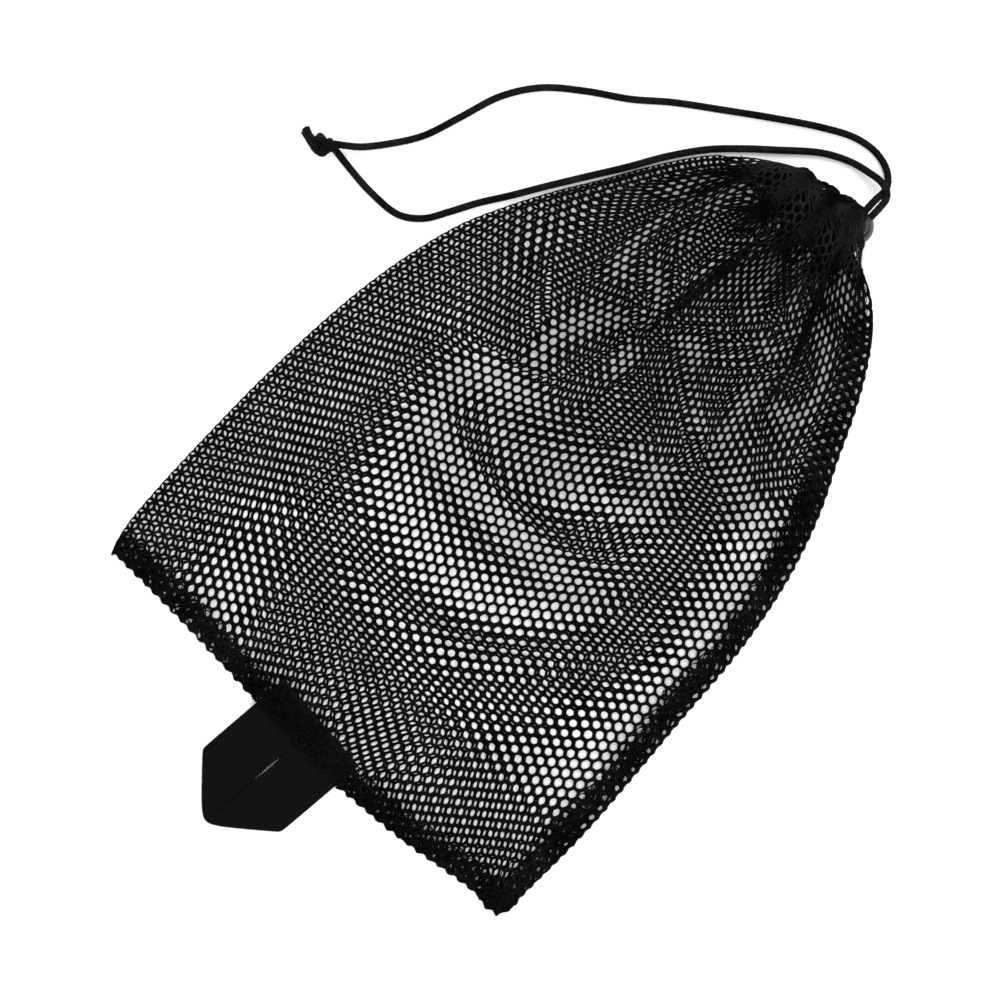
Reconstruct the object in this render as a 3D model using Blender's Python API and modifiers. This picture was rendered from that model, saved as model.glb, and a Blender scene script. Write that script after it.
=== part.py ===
"""Mesh ball bag, lying flat on its back with the mouth drawn closed.

A single cloth of hexagonal net is folded along the left edge, seamed down the
right edge and across the bottom, and hemmed round the mouth.  A round drawcord
runs through the hem, both ends pass through one ball-shaped cord lock, and a
knot joins them.  A strap of webbing, folded to a pointed loop, is sewn into
the middle of the bottom seam.

Local layout (before the root empty shifts it): the middle of the bottom edge
is at the origin, +X runs along the bottom edge, +Y to the mouth, +Z up from
the surface that the bag lies on.
"""

import math

import bmesh
import bpy
from mathutils import Matrix, Vector

# ---------------------------------------------------------------- dimensions
MM = 0.001
GAP = 0.3 * MM  # clearance between pieces that touch

ROOT_X = -0.62 * MM  # shift that puts the origin under the middle of the bag
ROOT_Y = -136.61 * MM

NET_T = 0.6 * MM  # thickness of one layer of net
FLAT_WIDTH = 230.0 * MM  # width of each panel before it is gathered
RIM_Z = 2.2 * MM  # height of the front panel's underside along the seams

# outline of the lying bag: distance from the bottom edge, left, right
OUTLINE = (
    (0.0, -115.6, 118.0),
    (20.0, -118.6, 119.8),
    (50.0, -119.4, 120.7),
    (84.0, -119.2, 119.4),
    (116.0, -117.9, 117.6),
    (148.0, -115.2, 116.2),
    (170.0, -111.8, 113.8),
    (190.0, -107.2, 110.2),
    (209.0, -101.2, 105.0),
    (226.0, -92.9, 98.8),
    (245.0, -82.2, 89.8),
    (264.0, -69.9, 81.6),
    (281.0, -59.4, 72.8),
    (298.0, -47.3, 61.0),
    (308.0, -38.4, 50.4),
    (318.0, -27.6, 38.0),
    (328.0, -12.0, 25.5),
)
# bow of the bottom edge, below a straight line between its corners
BOTTOM = (
    (-116.0, -1.6),
    (-80.0, -2.2),
    (-40.0, -4.2),
    (0.0, -6.6),
    (40.0, -8.1),
    (64.0, -7.7),
    (84.0, -5.4),
    (100.0, -2.4),
    (118.0, -1.2),
)
BOW_REACH = 60.0  # mm, how far up the bag the bow fades out
PANEL_END = 306.9  # mm, where the hem casing takes over from the panels

# rise of the front panel over its rim, along the bag
DOME = (
    (0.0, 0.0),
    (20.0, 1.5),
    (60.0, 4.2),
    (120.0, 7.0),
    (180.0, 9.5),
    (230.0, 13.0),
    (265.0, 17.0),
    (290.0, 20.5),
    (308.0, 22.2),
)

CASING_T = 1.0 * MM  # hem cloth, two layers
CASING_HALF = ((308.0, 12.3), (313.0, 13.0), (318.0, 13.2), (323.0, 12.6), (328.0, 11.4))
MOUTH_X, MOUTH_Z = 1.2, 12.4  # mm, centre of the drawn mouth
MOUTH_HALF_W, MOUTH_HALF_H = 12.4, 4.9  # mm, the hole that is left

ALLOWANCE_T = 1.0 * MM
ALLOWANCE_W = 12.0  # mm, side seam
BOTTOM_ALLOWANCE_W = 10.0  # mm

STRAP_W = 25.0  # mm
STRAP_T = 1.3 * MM
STRAP_TILT = math.radians(6.4)
STRAP_X = 2.5  # mm, middle of the loop on the bottom seam
STRAP_SHOULDER = 35.0  # mm
STRAP_SLIT = 1.0  # mm, between the two legs
HINGE_Y, HINGE_Z = -10.6, 2.85  # mm, where the loop bends at the seam
HINGE_CLEAR = 2.2  # mm, each side of the bend

CORD_R = 1.6 * MM
KNOT_R = 5.0 * MM
KNOT_AT = (-168.3, 191.6, 5.05)

LOCK_AT = (25.25, 324.3)  # mm
LOCK_R = 7.8  # mm
LOCK_FLAT_Z = 13.0  # mm, height of the barrel's flat top
WELL_R = 5.1
WELL_FLOOR_Z = 3.1
SPRING_POCKET_R = 3.6
SPRING_FLOOR_Z = 1.6
BORE_Z = 9.5  # mm, height of the cords through the lock
BORE_HALF_W = 4.2
PLUNGER_R = 4.8
PLUNGER_TOP_Z = 18.5
PLUNGER_BOTTOM_Z = 6.4
PRESS_TRAVEL = 3.0
CORD_SPREAD = 1.8  # mm, each cord's distance from the lock's middle
SPRING_WIRE_R = 0.25 * MM

THREAD_R = 0.3 * MM


# ------------------------------------------------------------------- helpers
def clear_scene():
    for obj in list(bpy.data.objects):
        bpy.data.objects.remove(obj, do_unlink=True)
    for coll in list(bpy.data.collections):
        bpy.data.collections.remove(coll)


def material(name, colour, roughness, metallic=0.0):
    mat = bpy.data.materials.new(name)
    mat.use_nodes = True
    bsdf = mat.node_tree.nodes["Principled BSDF"]
    bsdf.inputs["Base Color"].default_value = (*colour, 1.0)
    bsdf.inputs["Roughness"].default_value = roughness
    bsdf.inputs["Metallic"].default_value = metallic
    return mat


def through(table, at, column=1):
    """Monotone cubic through the table's rows, read at one distance."""
    xs = [row[0] for row in table]
    ys = [row[column] for row in table]
    n = len(xs)
    at = min(max(at, xs[0]), xs[-1])
    slopes = [(ys[i + 1] - ys[i]) / (xs[i + 1] - xs[i]) for i in range(n - 1)]
    tangents = [slopes[0]] + [0.0] * (n - 2) + [slopes[-1]]
    for i in range(1, n - 1):
        if slopes[i - 1] * slopes[i] > 0:
            h0, h1 = xs[i] - xs[i - 1], xs[i + 1] - xs[i]
            w0, w1 = 2 * h1 + h0, h1 + 2 * h0
            tangents[i] = (w0 + w1) / (w0 / slopes[i - 1] + w1 / slopes[i])
    for i in range(n - 1):
        if at <= xs[i + 1]:
            h = xs[i + 1] - xs[i]
            t = (at - xs[i]) / h
            return (
                (2 * t**3 - 3 * t**2 + 1) * ys[i]
                + (t**3 - 2 * t**2 + t) * h * tangents[i]
                + (-2 * t**3 + 3 * t**2) * ys[i + 1]
                + (t**3 - t**2) * h * tangents[i + 1]
            )
    return ys[-1]


def left(y):
    return through(OUTLINE, y, 1)


def right(y):
    return through(OUTLINE, y, 2)


def smooth_step(a, b, x):
    t = min(max((x - a) / (b - a), 0.0), 1.0)
    return t * t * (3 - 2 * t)


def bowed(x, y):
    """Distance y from the bottom edge, moved down with the edge's bow."""
    return y + through(BOTTOM, x) * (1.0 - smooth_step(0.0, BOW_REACH, y))


def put(obj, mat, parent):
    obj.data.materials.append(mat)
    BAG.objects.link(obj)
    obj.parent = parent
    return obj


def finish_mesh(mesh, angle=40.0):
    mesh.shade_smooth()
    mesh.set_sharp_from_angle(angle=math.radians(angle))


def plate(name, outline, low, high, mat, parent):
    """A flat outline in mm, extruded from low to high in metres."""
    curve = bpy.data.curves.new(name, "CURVE")
    curve.dimensions = "2D"
    curve.fill_mode = "BOTH"
    curve.extrude = (high - low) / 2
    spline = curve.splines.new("POLY")
    spline.points.add(len(outline) - 1)
    for point, (x, y) in zip(spline.points, outline):
        point.co = (x * MM, y * MM, 0.0, 1.0)
    spline.use_cyclic_u = True
    obj = bpy.data.objects.new(name, curve)
    obj.location.z = (high + low) / 2
    return put(obj, mat, parent)


def as_mesh(obj):
    """The curve object as a closed mesh object with the same place."""
    bpy.context.view_layer.update()
    graph = bpy.context.evaluated_depsgraph_get()
    mesh = bpy.data.meshes.new_from_object(obj.evaluated_get(graph))
    bm = bmesh.new()
    bm.from_mesh(mesh)
    bmesh.ops.remove_doubles(bm, verts=bm.verts, dist=1e-6)
    bmesh.ops.recalc_face_normals(bm, faces=bm.faces)
    bm.to_mesh(mesh)
    bm.free()
    name, parent, place = obj.name, obj.parent, obj.matrix_world.copy()
    bpy.data.objects.remove(obj, do_unlink=True)
    new = bpy.data.objects.new(name, mesh)
    BAG.objects.link(new)
    new.parent = parent
    new.matrix_world = place
    return new


def cutter(name, mesh_maker, parent):
    mesh = bpy.data.meshes.new(name)
    bm = bmesh.new()
    mesh_maker(bm)
    bm.to_mesh(mesh)
    bm.free()
    obj = bpy.data.objects.new(name, mesh)
    CUTTERS.objects.link(obj)
    obj.hide_render = True
    obj.display_type = "WIRE"
    obj.parent = parent
    return obj


def box_maker(low, high):
    def make(bm):
        bmesh.ops.create_cube(bm, size=1.0)
        for vert in bm.verts:
            for axis in range(3):
                half = (high[axis] - low[axis]) / 2
                middle = (high[axis] + low[axis]) / 2
                vert.co[axis] = (middle + 2 * half * vert.co[axis]) * MM

    return make


def boolean(obj, operation, other):
    mod = obj.modifiers.new(operation.lower(), "BOOLEAN")
    mod.operation = operation
    mod.solver = "EXACT"
    mod.object = other
    return mod


def spline_points(points, longest, tightest, bend_share=0.55):
    """Points on a smooth curve through the route, closer where it bends."""
    route = [Vector(p) for p in points]
    route = [2 * route[0] - route[1], *route, 2 * route[-1] - route[-2]]
    dense = []
    for i in range(1, len(route) - 2):
        p0, p1, p2, p3 = route[i - 1 : i + 3]
        t0 = 0.0
        t1 = t0 + max((p1 - p0).length, 1e-6) ** 0.5
        t2 = t1 + max((p2 - p1).length, 1e-6) ** 0.5
        t3 = t2 + max((p3 - p2).length, 1e-6) ** 0.5
        for step in range(40):
            t = t1 + (t2 - t1) * step / 40
            a1 = p0 * ((t1 - t) / (t1 - t0)) + p1 * ((t - t0) / (t1 - t0))
            a2 = p1 * ((t2 - t) / (t2 - t1)) + p2 * ((t - t1) / (t2 - t1))
            a3 = p2 * ((t3 - t) / (t3 - t2)) + p3 * ((t - t2) / (t3 - t2))
            b1 = a1 * ((t2 - t) / (t2 - t0)) + a2 * ((t - t0) / (t2 - t0))
            b2 = a2 * ((t3 - t) / (t3 - t1)) + a3 * ((t - t1) / (t3 - t1))
            dense.append(b1 * ((t2 - t) / (t2 - t1)) + b2 * ((t - t1) / (t2 - t1)))
    dense.append(route[-2])
    along = [0.0]
    for a, b in zip(dense, dense[1:]):
        along.append(along[-1] + (b - a).length)

    def at(distance):
        distance = min(max(distance, 0.0), along[-1])
        low, high = 0, len(along) - 1
        while high - low > 1:
            middle = (low + high) // 2
            if along[middle] <= distance:
                low = middle
            else:
                high = middle
        share = (distance - along[low]) / max(along[high] - along[low], 1e-9)
        return dense[low].lerp(dense[high], share)

    def step_at(distance):
        back, here, ahead = at(distance - 3), at(distance), at(distance + 3)
        first, second = here - back, ahead - here
        if first.length < 1e-6 or second.length < 1e-6:
            return longest
        angle = first.angle(second)
        radius = 3.0 / max(angle, 1e-3)
        return min(max(radius * bend_share, tightest), longest)

    marks = [0.0]
    while marks[-1] < along[-1]:
        trial = step_at(marks[-1])
        trial = min(trial, step_at(marks[-1] + trial), step_at(marks[-1] + trial / 2))
        marks.append(marks[-1] + trial)
    stretch = along[-1] / marks[-1]
    return [at(mark * stretch) for mark in marks], along[-1]


def tube(name, points, radius, mat, parent, resolution=2, closed=False):
    """Round tube along points in mm."""
    curve = bpy.data.curves.new(name, "CURVE")
    curve.dimensions = "3D"
    curve.bevel_depth = radius
    curve.bevel_resolution = resolution
    curve.use_fill_caps = not closed
    curve.resolution_u = 1
    spline = curve.splines.new("POLY")
    spline.points.add(len(points) - 1)
    for point, place in zip(spline.points, points):
        point.co = (place[0] * MM, place[1] * MM, place[2] * MM, 1.0)
    spline.use_cyclic_u = closed
    obj = bpy.data.objects.new(name, curve)
    return put(obj, mat, parent)


def loft_ring(name, rings, thickness, mat, parent):
    """Open tube skinned through rings of points in mm, then given thickness."""
    mesh = bpy.data.meshes.new(name)
    bm = bmesh.new()
    rows = [[bm.verts.new((x * MM, y * MM, z * MM)) for x, y, z in ring] for ring in rings]
    count = len(rows[0])
    for lower, upper in zip(rows, rows[1:]):
        for i in range(count):
            j = (i + 1) % count
            bm.faces.new((lower[i], upper[i], upper[j], lower[j]))
    bm.to_mesh(mesh)
    bm.free()
    finish_mesh(mesh)
    obj = put(bpy.data.objects.new(name, mesh), mat, parent)
    shell = obj.modifiers.new("thickness", "SOLIDIFY")
    shell.thickness = thickness
    shell.offset = -1.0
    shell.use_even_offset = True
    return obj


def empty(name, place, parent=None):
    obj = bpy.data.objects.new(name, None)
    obj.empty_display_size = 0.01
    obj.location = Vector(place) * MM
    obj.parent = parent
    BAG.objects.link(obj)
    return obj


# ------------------------------------------------------------ bag body, seams
def top_rise(x, y):
    """Height of the front panel's underside, in mm."""
    lo, hi = left(y), right(y)
    t = 2 * (x - lo) / (hi - lo) - 1
    t = min(max(t, -1.0), 1.0)
    power = 1.0 - 0.45 * smooth_step(180.0, PANEL_END, y)
    crown = max(1.0 - abs(t) ** 2.2, 0.0) ** power
    strap = (1.0 - smooth_step(30.0, 46.0, abs(x - STRAP_X))) * (1.0 - smooth_step(11.0, 30.0, y))
    return RIM_Z / MM + through(DOME, y) * crown + 1.65 * strap


def net_front_panel(mat, parent):
    across, along = 18, 22
    mesh = bpy.data.meshes.new("net_front_panel")
    bm = bmesh.new()
    bmesh.ops.create_grid(bm, x_segments=across, y_segments=along, size=1.0)
    for vert in bm.verts:
        t = math.sin(vert.co.x * math.pi / 2)
        y = GAP / MM + (PANEL_END - GAP / MM) * (vert.co.y + 1) / 2
        lo, hi = left(y), right(y)
        x = (lo + hi) / 2 + t * (hi - lo) / 2
        vert.co = (x * MM, bowed(x, y) * MM, top_rise(x, y) * MM)
    bm.to_mesh(mesh)
    bm.free()
    finish_mesh(mesh)
    obj = put(bpy.data.objects.new("net_front_panel", mesh), mat, parent)
    shell = obj.modifiers.new("thickness", "SOLIDIFY")
    shell.thickness = NET_T
    shell.offset = 1.0
    return obj


def net_back_panel(mat, parent):
    steps = 22
    ys = [0.3 + (PANEL_END - 0.3) * i / steps for i in range(steps + 1)]
    outline = [(left(y), y) for y in reversed(ys)]
    outline += [(left(0.3) + (right(0.3) - left(0.3)) * i / 20, 0.3) for i in range(1, 20)]
    outline += [(right(y), y) for y in ys]
    outline = [(x, bowed(x, y)) for x, y in outline]
    return plate("net_back_panel", outline, 0.0, NET_T, mat, parent)


def side_seam_allowance(mat, parent):
    low = NET_T + GAP
    ys = [BOTTOM_ALLOWANCE_W + 1.2 + (303.0 - BOTTOM_ALLOWANCE_W) * i / 18 for i in range(19)]
    ys = [min(y, 303.5) for y in ys]
    outline = [(right(y) - 0.8 - ALLOWANCE_W, y) for y in reversed(ys)]
    outline += [(right(y) - 0.8, y) for y in ys]
    outline = [(x, bowed(x, y)) for x, y in outline]
    return plate("side_seam_allowance", outline, low, low + ALLOWANCE_T, mat, parent)


def bottom_seam_allowance(mat, parent):
    low = NET_T + GAP
    near, far = 0.8, BOTTOM_ALLOWANCE_W + 0.6
    first, last = left(near) + 1.5, right(near) - 0.8
    xs = [first + (last - first) * i / 20 for i in range(21)]
    outline = [(x, bowed(x, near)) for x in xs] + [(x, bowed(x, far)) for x in reversed(xs)]
    return plate("bottom_seam_allowance", outline, low, low + ALLOWANCE_T, mat, parent)


def casing_rings(shrink=0.0, first=308.0, last=328.0, count=5, sides=28):
    rings = []
    for k in range(count):
        y = first + (last - first) * k / (count - 1)
        half = through(CASING_HALF, y)
        middle = (left(y) + right(y)) / 2
        wide = (right(y) - left(y)) / 2
        rings.append(
            [
                (
                    middle + (wide - shrink) * math.cos(2 * math.pi * i / sides),
                    y,
                    half + (half - shrink) * math.sin(2 * math.pi * i / sides),
                )
                for i in range(sides)
            ]
        )
    return rings


def hem_outer(mat, parent):
    obj = loft_ring("hem_outer", casing_rings(), CASING_T, mat, parent)
    # side opening of the hem, where the two cords leave it and the lock sits
    corner = (LOCK_AT[0] - LOCK_R - 0.9, LOCK_AT[1] - LOCK_R - GAP / MM, -2.0)
    cut = cutter("hem_opening", box_maker(corner, (60.0, 340.0, 40.0)), parent)
    boolean(obj, "DIFFERENCE", cut)
    return obj


def hem_inner(mat, parent):
    wall = CASING_T / MM
    wide, tall = MOUTH_HALF_W + wall, MOUTH_HALF_H + wall
    # distance along the bag, centre across, half width, centre height, half height
    stations = (
        (309.0, MOUTH_X, wide, MOUTH_Z, tall),
        (314.0, MOUTH_X, wide, MOUTH_Z, tall),
        (319.0, MOUTH_X, wide + 0.2, MOUTH_Z, tall + 0.5),
        (323.5, MOUTH_X + 0.4, wide + 0.2, MOUTH_Z - 0.2, tall + 1.5),
        (327.6, MOUTH_X + 0.9, wide, MOUTH_Z - 0.8, tall + 2.2),
    )
    rings = []
    for y, cx, half_w, cz, half_h in stations:
        turns = [2 * math.pi * i / 24 for i in range(24)]
        rings.append([(cx + half_w * math.cos(a), y, cz + half_h * math.sin(a)) for a in turns])
    return loft_ring("hem_inner", rings, CASING_T, mat, parent)


# ------------------------------------------------------------------ stitching
def zigzag(count, place, amplitude):
    """Points of a zigzag seam: place(share) gives a point and the way across."""
    points = []
    for i in range(count):
        base, across = place(i / (count - 1))
        side = 1 if i % 2 else -1
        points.append([b + side * amplitude * a for b, a in zip(base, across)])
    return points


def over_front(x, y, lift=1.15):
    return top_rise(x, y) + NET_T / MM + lift


def side_seam_thread(mat, parent):
    def place(share):
        y = 12.0 + 288.0 * share
        x = right(y) - 7.0
        return (x, y, over_front(x, y)), (1.0, 0.0, 0.0)

    points = zigzag(61, place, 1.3)
    points = [(x, bowed(x, y), over_front(x, y)) for x, y, _ in points]
    return tube("side_seam_thread", points, THREAD_R, mat, parent, resolution=1)


def bottom_seam_thread(mat, parent):
    def place(share):
        x = -110.0 + 218.0 * share
        return (x, 6.0, 0.0), (0.0, 1.0, 0.0)

    points = zigzag(51, place, 1.3)
    points = [(x, bowed(x, y), over_front(x, y)) for x, y, _ in points]
    return tube("bottom_seam_thread", points, THREAD_R, mat, parent, resolution=1)


def hem_thread(mat, parent):
    points = []
    for i in range(29):
        angle = math.radians(-20.0 + 220.0 * i / 28)
        y = 310.5 + (0.7 if i % 2 else -0.7)
        half = through(CASING_HALF, y)
        middle, wide = (left(y) + right(y)) / 2, (right(y) - left(y)) / 2
        reach = 1.2
        points.append((middle + (wide + reach) * math.cos(angle), y, half + (half + reach) * math.sin(angle)))
    return tube("hem_thread", points, THREAD_R, mat, parent, resolution=1)


def tack_thread(name, x, mat, parent):
    """Dense bar of stitches across one leg of the strap."""
    points = []
    for i in range(23):
        px = x - 9.5 + 19.0 * i / 22
        py = 2.5 + (0.9 if i % 2 else -0.9)
        points.append((px, bowed(px, py), over_front(px, py)))
    return tube(name, points, THREAD_R, mat, parent, resolution=1)


# -------------------------------------------------------------------- webbing
def strap_place(x, y):
    """From the loop's own straight layout to the tilted one on the bag."""
    s, c = math.sin(STRAP_TILT), math.cos(STRAP_TILT)
    return (x * c + y * s + STRAP_X, -x * s + y * c)


def strap_row(x, bag_y):
    """Point at a leg's edge line x, at one distance from the bottom edge."""
    s, c = math.sin(STRAP_TILT), math.cos(STRAP_TILT)
    return strap_place(x, (bag_y + x * s) / c)


def webbing_end(name, side, mat, parent):
    inner, outer = side * STRAP_SLIT / 2, side * (STRAP_SLIT / 2 + STRAP_W)
    near = HINGE_Y + HINGE_CLEAR
    far = bowed(STRAP_X, BOTTOM_ALLOWANCE_W)
    outline = [strap_row(inner, near), strap_row(outer, near), strap_row(outer, far), strap_row(inner, far)]
    low = HINGE_Z * MM - STRAP_T / 2
    return plate(name, outline, low, low + STRAP_T, mat, parent)


def webbing_loop(mat, pivot):
    half, edge = STRAP_SLIT / 2, STRAP_SLIT / 2 + STRAP_W
    near = HINGE_Y - HINGE_CLEAR
    tip = -(STRAP_SHOULDER + STRAP_W - 1.0)

    def local(points):
        return [(x - STRAP_X, y - HINGE_Y) for x, y in points]

    legs = local(
        [
            strap_row(-edge, near),
            strap_place(-edge, -STRAP_SHOULDER),
            strap_place(-1.5, tip),
            strap_place(1.5, tip),
            strap_place(edge, -STRAP_SHOULDER),
            strap_row(edge, near),
            strap_row(half, near),
            strap_place(half, -STRAP_SHOULDER - 10.0),
            strap_place(-half, -STRAP_SHOULDER - 10.0),
            strap_row(-half, near),
        ]
    )
    crossing = local(
        [
            strap_place(-edge, -STRAP_SHOULDER),
            strap_place(-1.5, tip),
            strap_place(1.5, tip),
            strap_place(edge, -STRAP_SHOULDER),
        ]
    )
    thin = STRAP_T / 2
    top = as_mesh(plate("webbing_loop", legs, -thin, thin, mat, pivot))
    under = as_mesh(plate("crossing_layer", crossing, -3 * thin - GAP, thin, mat, pivot))
    BAG.objects.unlink(under)
    CUTTERS.objects.link(under)
    under.hide_render = True
    under.display_type = "WIRE"
    boolean(top, "UNION", under)
    return top


# ----------------------------------------------------------------------- cord
def channel_route():
    """From one exit, round the drawn mouth inside the hem, to the other exit."""
    x, z = LOCK_AT[0], BORE_Z
    return [
        (x - CORD_SPREAD, 314.8, z),
        (x - CORD_SPREAD, 313.6, z + 0.1),
        (x - CORD_SPREAD - 1.6, 311.8, z + 2.6),
        (19.0, 311.6, 15.6),
        (10.5, 312.4, 19.8),
        (1.0, 313.4, 20.8),
        (-8.0, 314.6, 19.0),
        (-14.0, 315.4, 14.6),
        (-14.3, 315.2, 9.6),
        (-8.0, 314.2, 5.2),
        (1.0, 313.0, 3.8),
        (10.5, 311.6, 3.8),
        (19.5, 310.6, 5.4),
        (25.4, 310.8, 7.2),
        (x + CORD_SPREAD, 313.4, z - 0.3),
        (x + CORD_SPREAD, 314.8, z),
    ]


def outer_route():
    x, z, low = LOCK_AT[0] - CORD_SPREAD, BORE_Z, CORD_R / MM + 0.05
    return [
        (x, 315.8, z),
        (x, 323.0, z),
        (x, 331.0, z),
        (x, 338.6, z),
        (x + 0.3, 342.0, 7.9),
        (x + 0.2, 345.4, 4.9),
        (21.6, 349.2, 2.4),
        (17.0, 352.6, low),
        (9.2, 354.4, low),
        (-1.5, 352.8, low),
        (-14.9, 346.3, low),
        (-34.7, 333.8, low),
        (-51.1, 322.7, low),
        (-70.3, 309.4, low),
        (-84.2, 298.2, low),
        (-100.8, 287.4, low),
        (-116.1, 275.1, low),
        (-126.4, 260.2, low),
        (-133.0, 241.4, low),
        (-139.2, 224.6, low),
        (-148.4, 211.0, low),
        (-155.6, 202.6, 2.1),
        (-160.4, 198.6, 4.4),
        (-163.9, 196.0, 6.3),
    ]


def inner_route():
    x, z, low = LOCK_AT[0] + CORD_SPREAD, BORE_Z, CORD_R / MM + 0.05
    return [
        (x, 315.8, z),
        (x, 323.0, z),
        (x, 331.0, z),
        (x, 338.6, z),
        (x - 0.4, 341.6, 9.9),
        (24.6, 344.3, 10.2),
        (20.4, 345.9, 8.6),
        (13.0, 345.6, 4.4),
        (4.5, 343.9, low + 0.2),
        (-7.0, 338.4, low),
        (-23.4, 325.0, low),
        (-34.2, 315.6, low),
        (-45.0, 304.9, low),
        (-55.9, 290.4, low),
        (-64.8, 276.0, low),
        (-75.0, 260.6, low),
        (-85.0, 245.4, low),
        (-93.6, 231.8, low),
        (-101.8, 219.6, low),
        (-108.4, 208.0, low),
        (-114.4, 198.6, low),
        (-123.5, 192.3, low),
        (-139.6, 191.2, low),
        (-153.4, 192.6, low),
        (-159.4, 193.5, 1.8),
        (-163.1, 194.1, 2.5),
    ]


def cord_knot(mat, parent):
    mesh = bpy.data.meshes.new("cord_knot")
    bm = bmesh.new()
    bmesh.ops.create_uvsphere(bm, u_segments=16, v_segments=10, radius=KNOT_R)
    bm.to_mesh(mesh)
    bm.free()
    mesh.shade_smooth()
    obj = put(bpy.data.objects.new("cord_knot", mesh), mat, parent)
    obj.location = Vector(KNOT_AT) * MM
    return obj


def cord_tail(name, start, end, mat, parent):
    points = [Vector(start).lerp(Vector(end), i / 3) for i in range(4)]
    return tube(name, points, CORD_R, mat, parent)


# ------------------------------------------------------------------ cord lock
def lock_barrel(mat, slider):
    """Ball with a flat top, a well for the plunger and a bore for two cords."""
    mesh = bpy.data.meshes.new("lock_barrel")
    bm = bmesh.new()
    bmesh.ops.create_uvsphere(bm, u_segments=28, v_segments=18, radius=LOCK_R * MM)
    bm.to_mesh(mesh)
    bm.free()
    finish_mesh(mesh)
    obj = put(bpy.data.objects.new("lock_barrel", mesh), mat, slider)
    top = LOCK_FLAT_Z - LOCK_R
    flat = cutter("barrel_flat", box_maker((-10, -10, top), (10, 10, top + 10)), slider)

    def drill(radius, floor_z):
        def make(bm):
            depth = 20.0
            floor = floor_z - LOCK_R
            bmesh.ops.create_cone(
                bm,
                cap_ends=True,
                segments=28,
                radius1=radius * MM,
                radius2=radius * MM,
                depth=depth * MM,
                matrix=Matrix.Translation((0, 0, (floor + depth / 2) * MM)),
            )

        return make

    def bore(bm):
        centre = BORE_Z - LOCK_R
        low, high = centre - 2.6, centre + 1.95
        box_maker((-BORE_HALF_W, -12, low), (BORE_HALF_W, 12, high))(bm)
        edges = [e for e in bm.edges if abs((e.verts[0].co - e.verts[1].co).y) > 0.01]
        bmesh.ops.bevel(bm, geom=edges, offset=1.2 * MM, segments=3, affect="EDGES", profile=0.5)

    well_cut = cutter("barrel_well", drill(WELL_R, WELL_FLOOR_Z), slider)
    pocket_cut = cutter("barrel_spring_pocket", drill(SPRING_POCKET_R, SPRING_FLOOR_Z), slider)
    bore_cut = cutter("barrel_bore", bore, slider)
    for cut in (flat, well_cut, pocket_cut, bore_cut):
        boolean(obj, "DIFFERENCE", cut)
    return obj


def lock_plunger(mat, presser):
    """Round button with a window that the two cords pass through."""
    middle = (PLUNGER_TOP_Z + PLUNGER_BOTTOM_Z) / 2
    depth = PLUNGER_TOP_Z - PLUNGER_BOTTOM_Z
    mesh = bpy.data.meshes.new("lock_plunger")
    bm = bmesh.new()
    bmesh.ops.create_cone(
        bm, cap_ends=True, segments=24, radius1=PLUNGER_R * MM, radius2=PLUNGER_R * MM, depth=depth * MM
    )
    top_edges = [e for e in bm.edges if min(v.co.z for v in e.verts) > depth * MM * 0.49]
    bmesh.ops.bevel(bm, geom=top_edges, offset=1.1 * MM, segments=3, affect="EDGES", profile=0.5)
    bmesh.ops.translate(bm, verts=bm.verts, vec=(0, 0, (middle - LOCK_R) * MM))
    bm.to_mesh(mesh)
    bm.free()
    finish_mesh(mesh)
    obj = put(bpy.data.objects.new("lock_plunger", mesh), mat, presser)

    def window(bm):
        centre = BORE_Z - LOCK_R
        low, high = centre - 1.95, centre + 1.95 + PRESS_TRAVEL + 0.2
        box_maker((-3.75, -12, low), (3.75, 12, high))(bm)

    boolean(obj, "DIFFERENCE", cutter("plunger_window", window, presser))
    return obj


def lock_spring(mat, slider):
    """Conical spring under the plunger, wide at its foot."""
    turns, per_turn = 3.0, 12
    low = SPRING_FLOOR_Z + GAP / MM + SPRING_WIRE_R / MM - LOCK_R
    high = PLUNGER_BOTTOM_Z - GAP / MM - SPRING_WIRE_R / MM - LOCK_R
    points = []
    count = int(turns * per_turn)
    for i in range(count + 1):
        share = i / count
        angle = 2 * math.pi * turns * share
        radius = 3.05 - 1.2 * share
        points.append((radius * math.cos(angle), radius * math.sin(angle), low + (high - low) * share))
    return tube("lock_spring", points, SPRING_WIRE_R, mat, slider)


# ------------------------------------------------------------------- assembly
clear_scene()
BAG = bpy.data.collections.new("mesh_ball_bag")
CUTTERS = bpy.data.collections.new("cutters")
bpy.context.scene.collection.children.link(BAG)
bpy.context.scene.collection.children.link(CUTTERS)
CUTTERS.hide_render = True

net_black = material("net_black", (0.012, 0.012, 0.014), 0.62)
seam_black = material("seam_black", (0.009, 0.009, 0.011), 0.7)
thread_black = material("thread_black", (0.014, 0.014, 0.016), 0.5)
cord_black = material("cord_black", (0.011, 0.011, 0.012), 0.55)
strap_black = material("webbing_black", (0.010, 0.010, 0.010), 0.6)
lock_grey = material("lock_grey", (0.045, 0.042, 0.052), 0.35)
spring_steel = material("spring_steel", (0.55, 0.55, 0.56), 0.3, 1.0)

root = empty("mesh_ball_bag_root", (ROOT_X / MM, ROOT_Y / MM, 0.0))
loop_pivot = empty("loop_pivot", (STRAP_X, HINGE_Y, HINGE_Z), root)
lock_slider = empty("lock_slider", (LOCK_AT[0], LOCK_AT[1], LOCK_R), root)
plunger_slider = empty("plunger_slider", (0.0, 0.0, 0.0), lock_slider)

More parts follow.
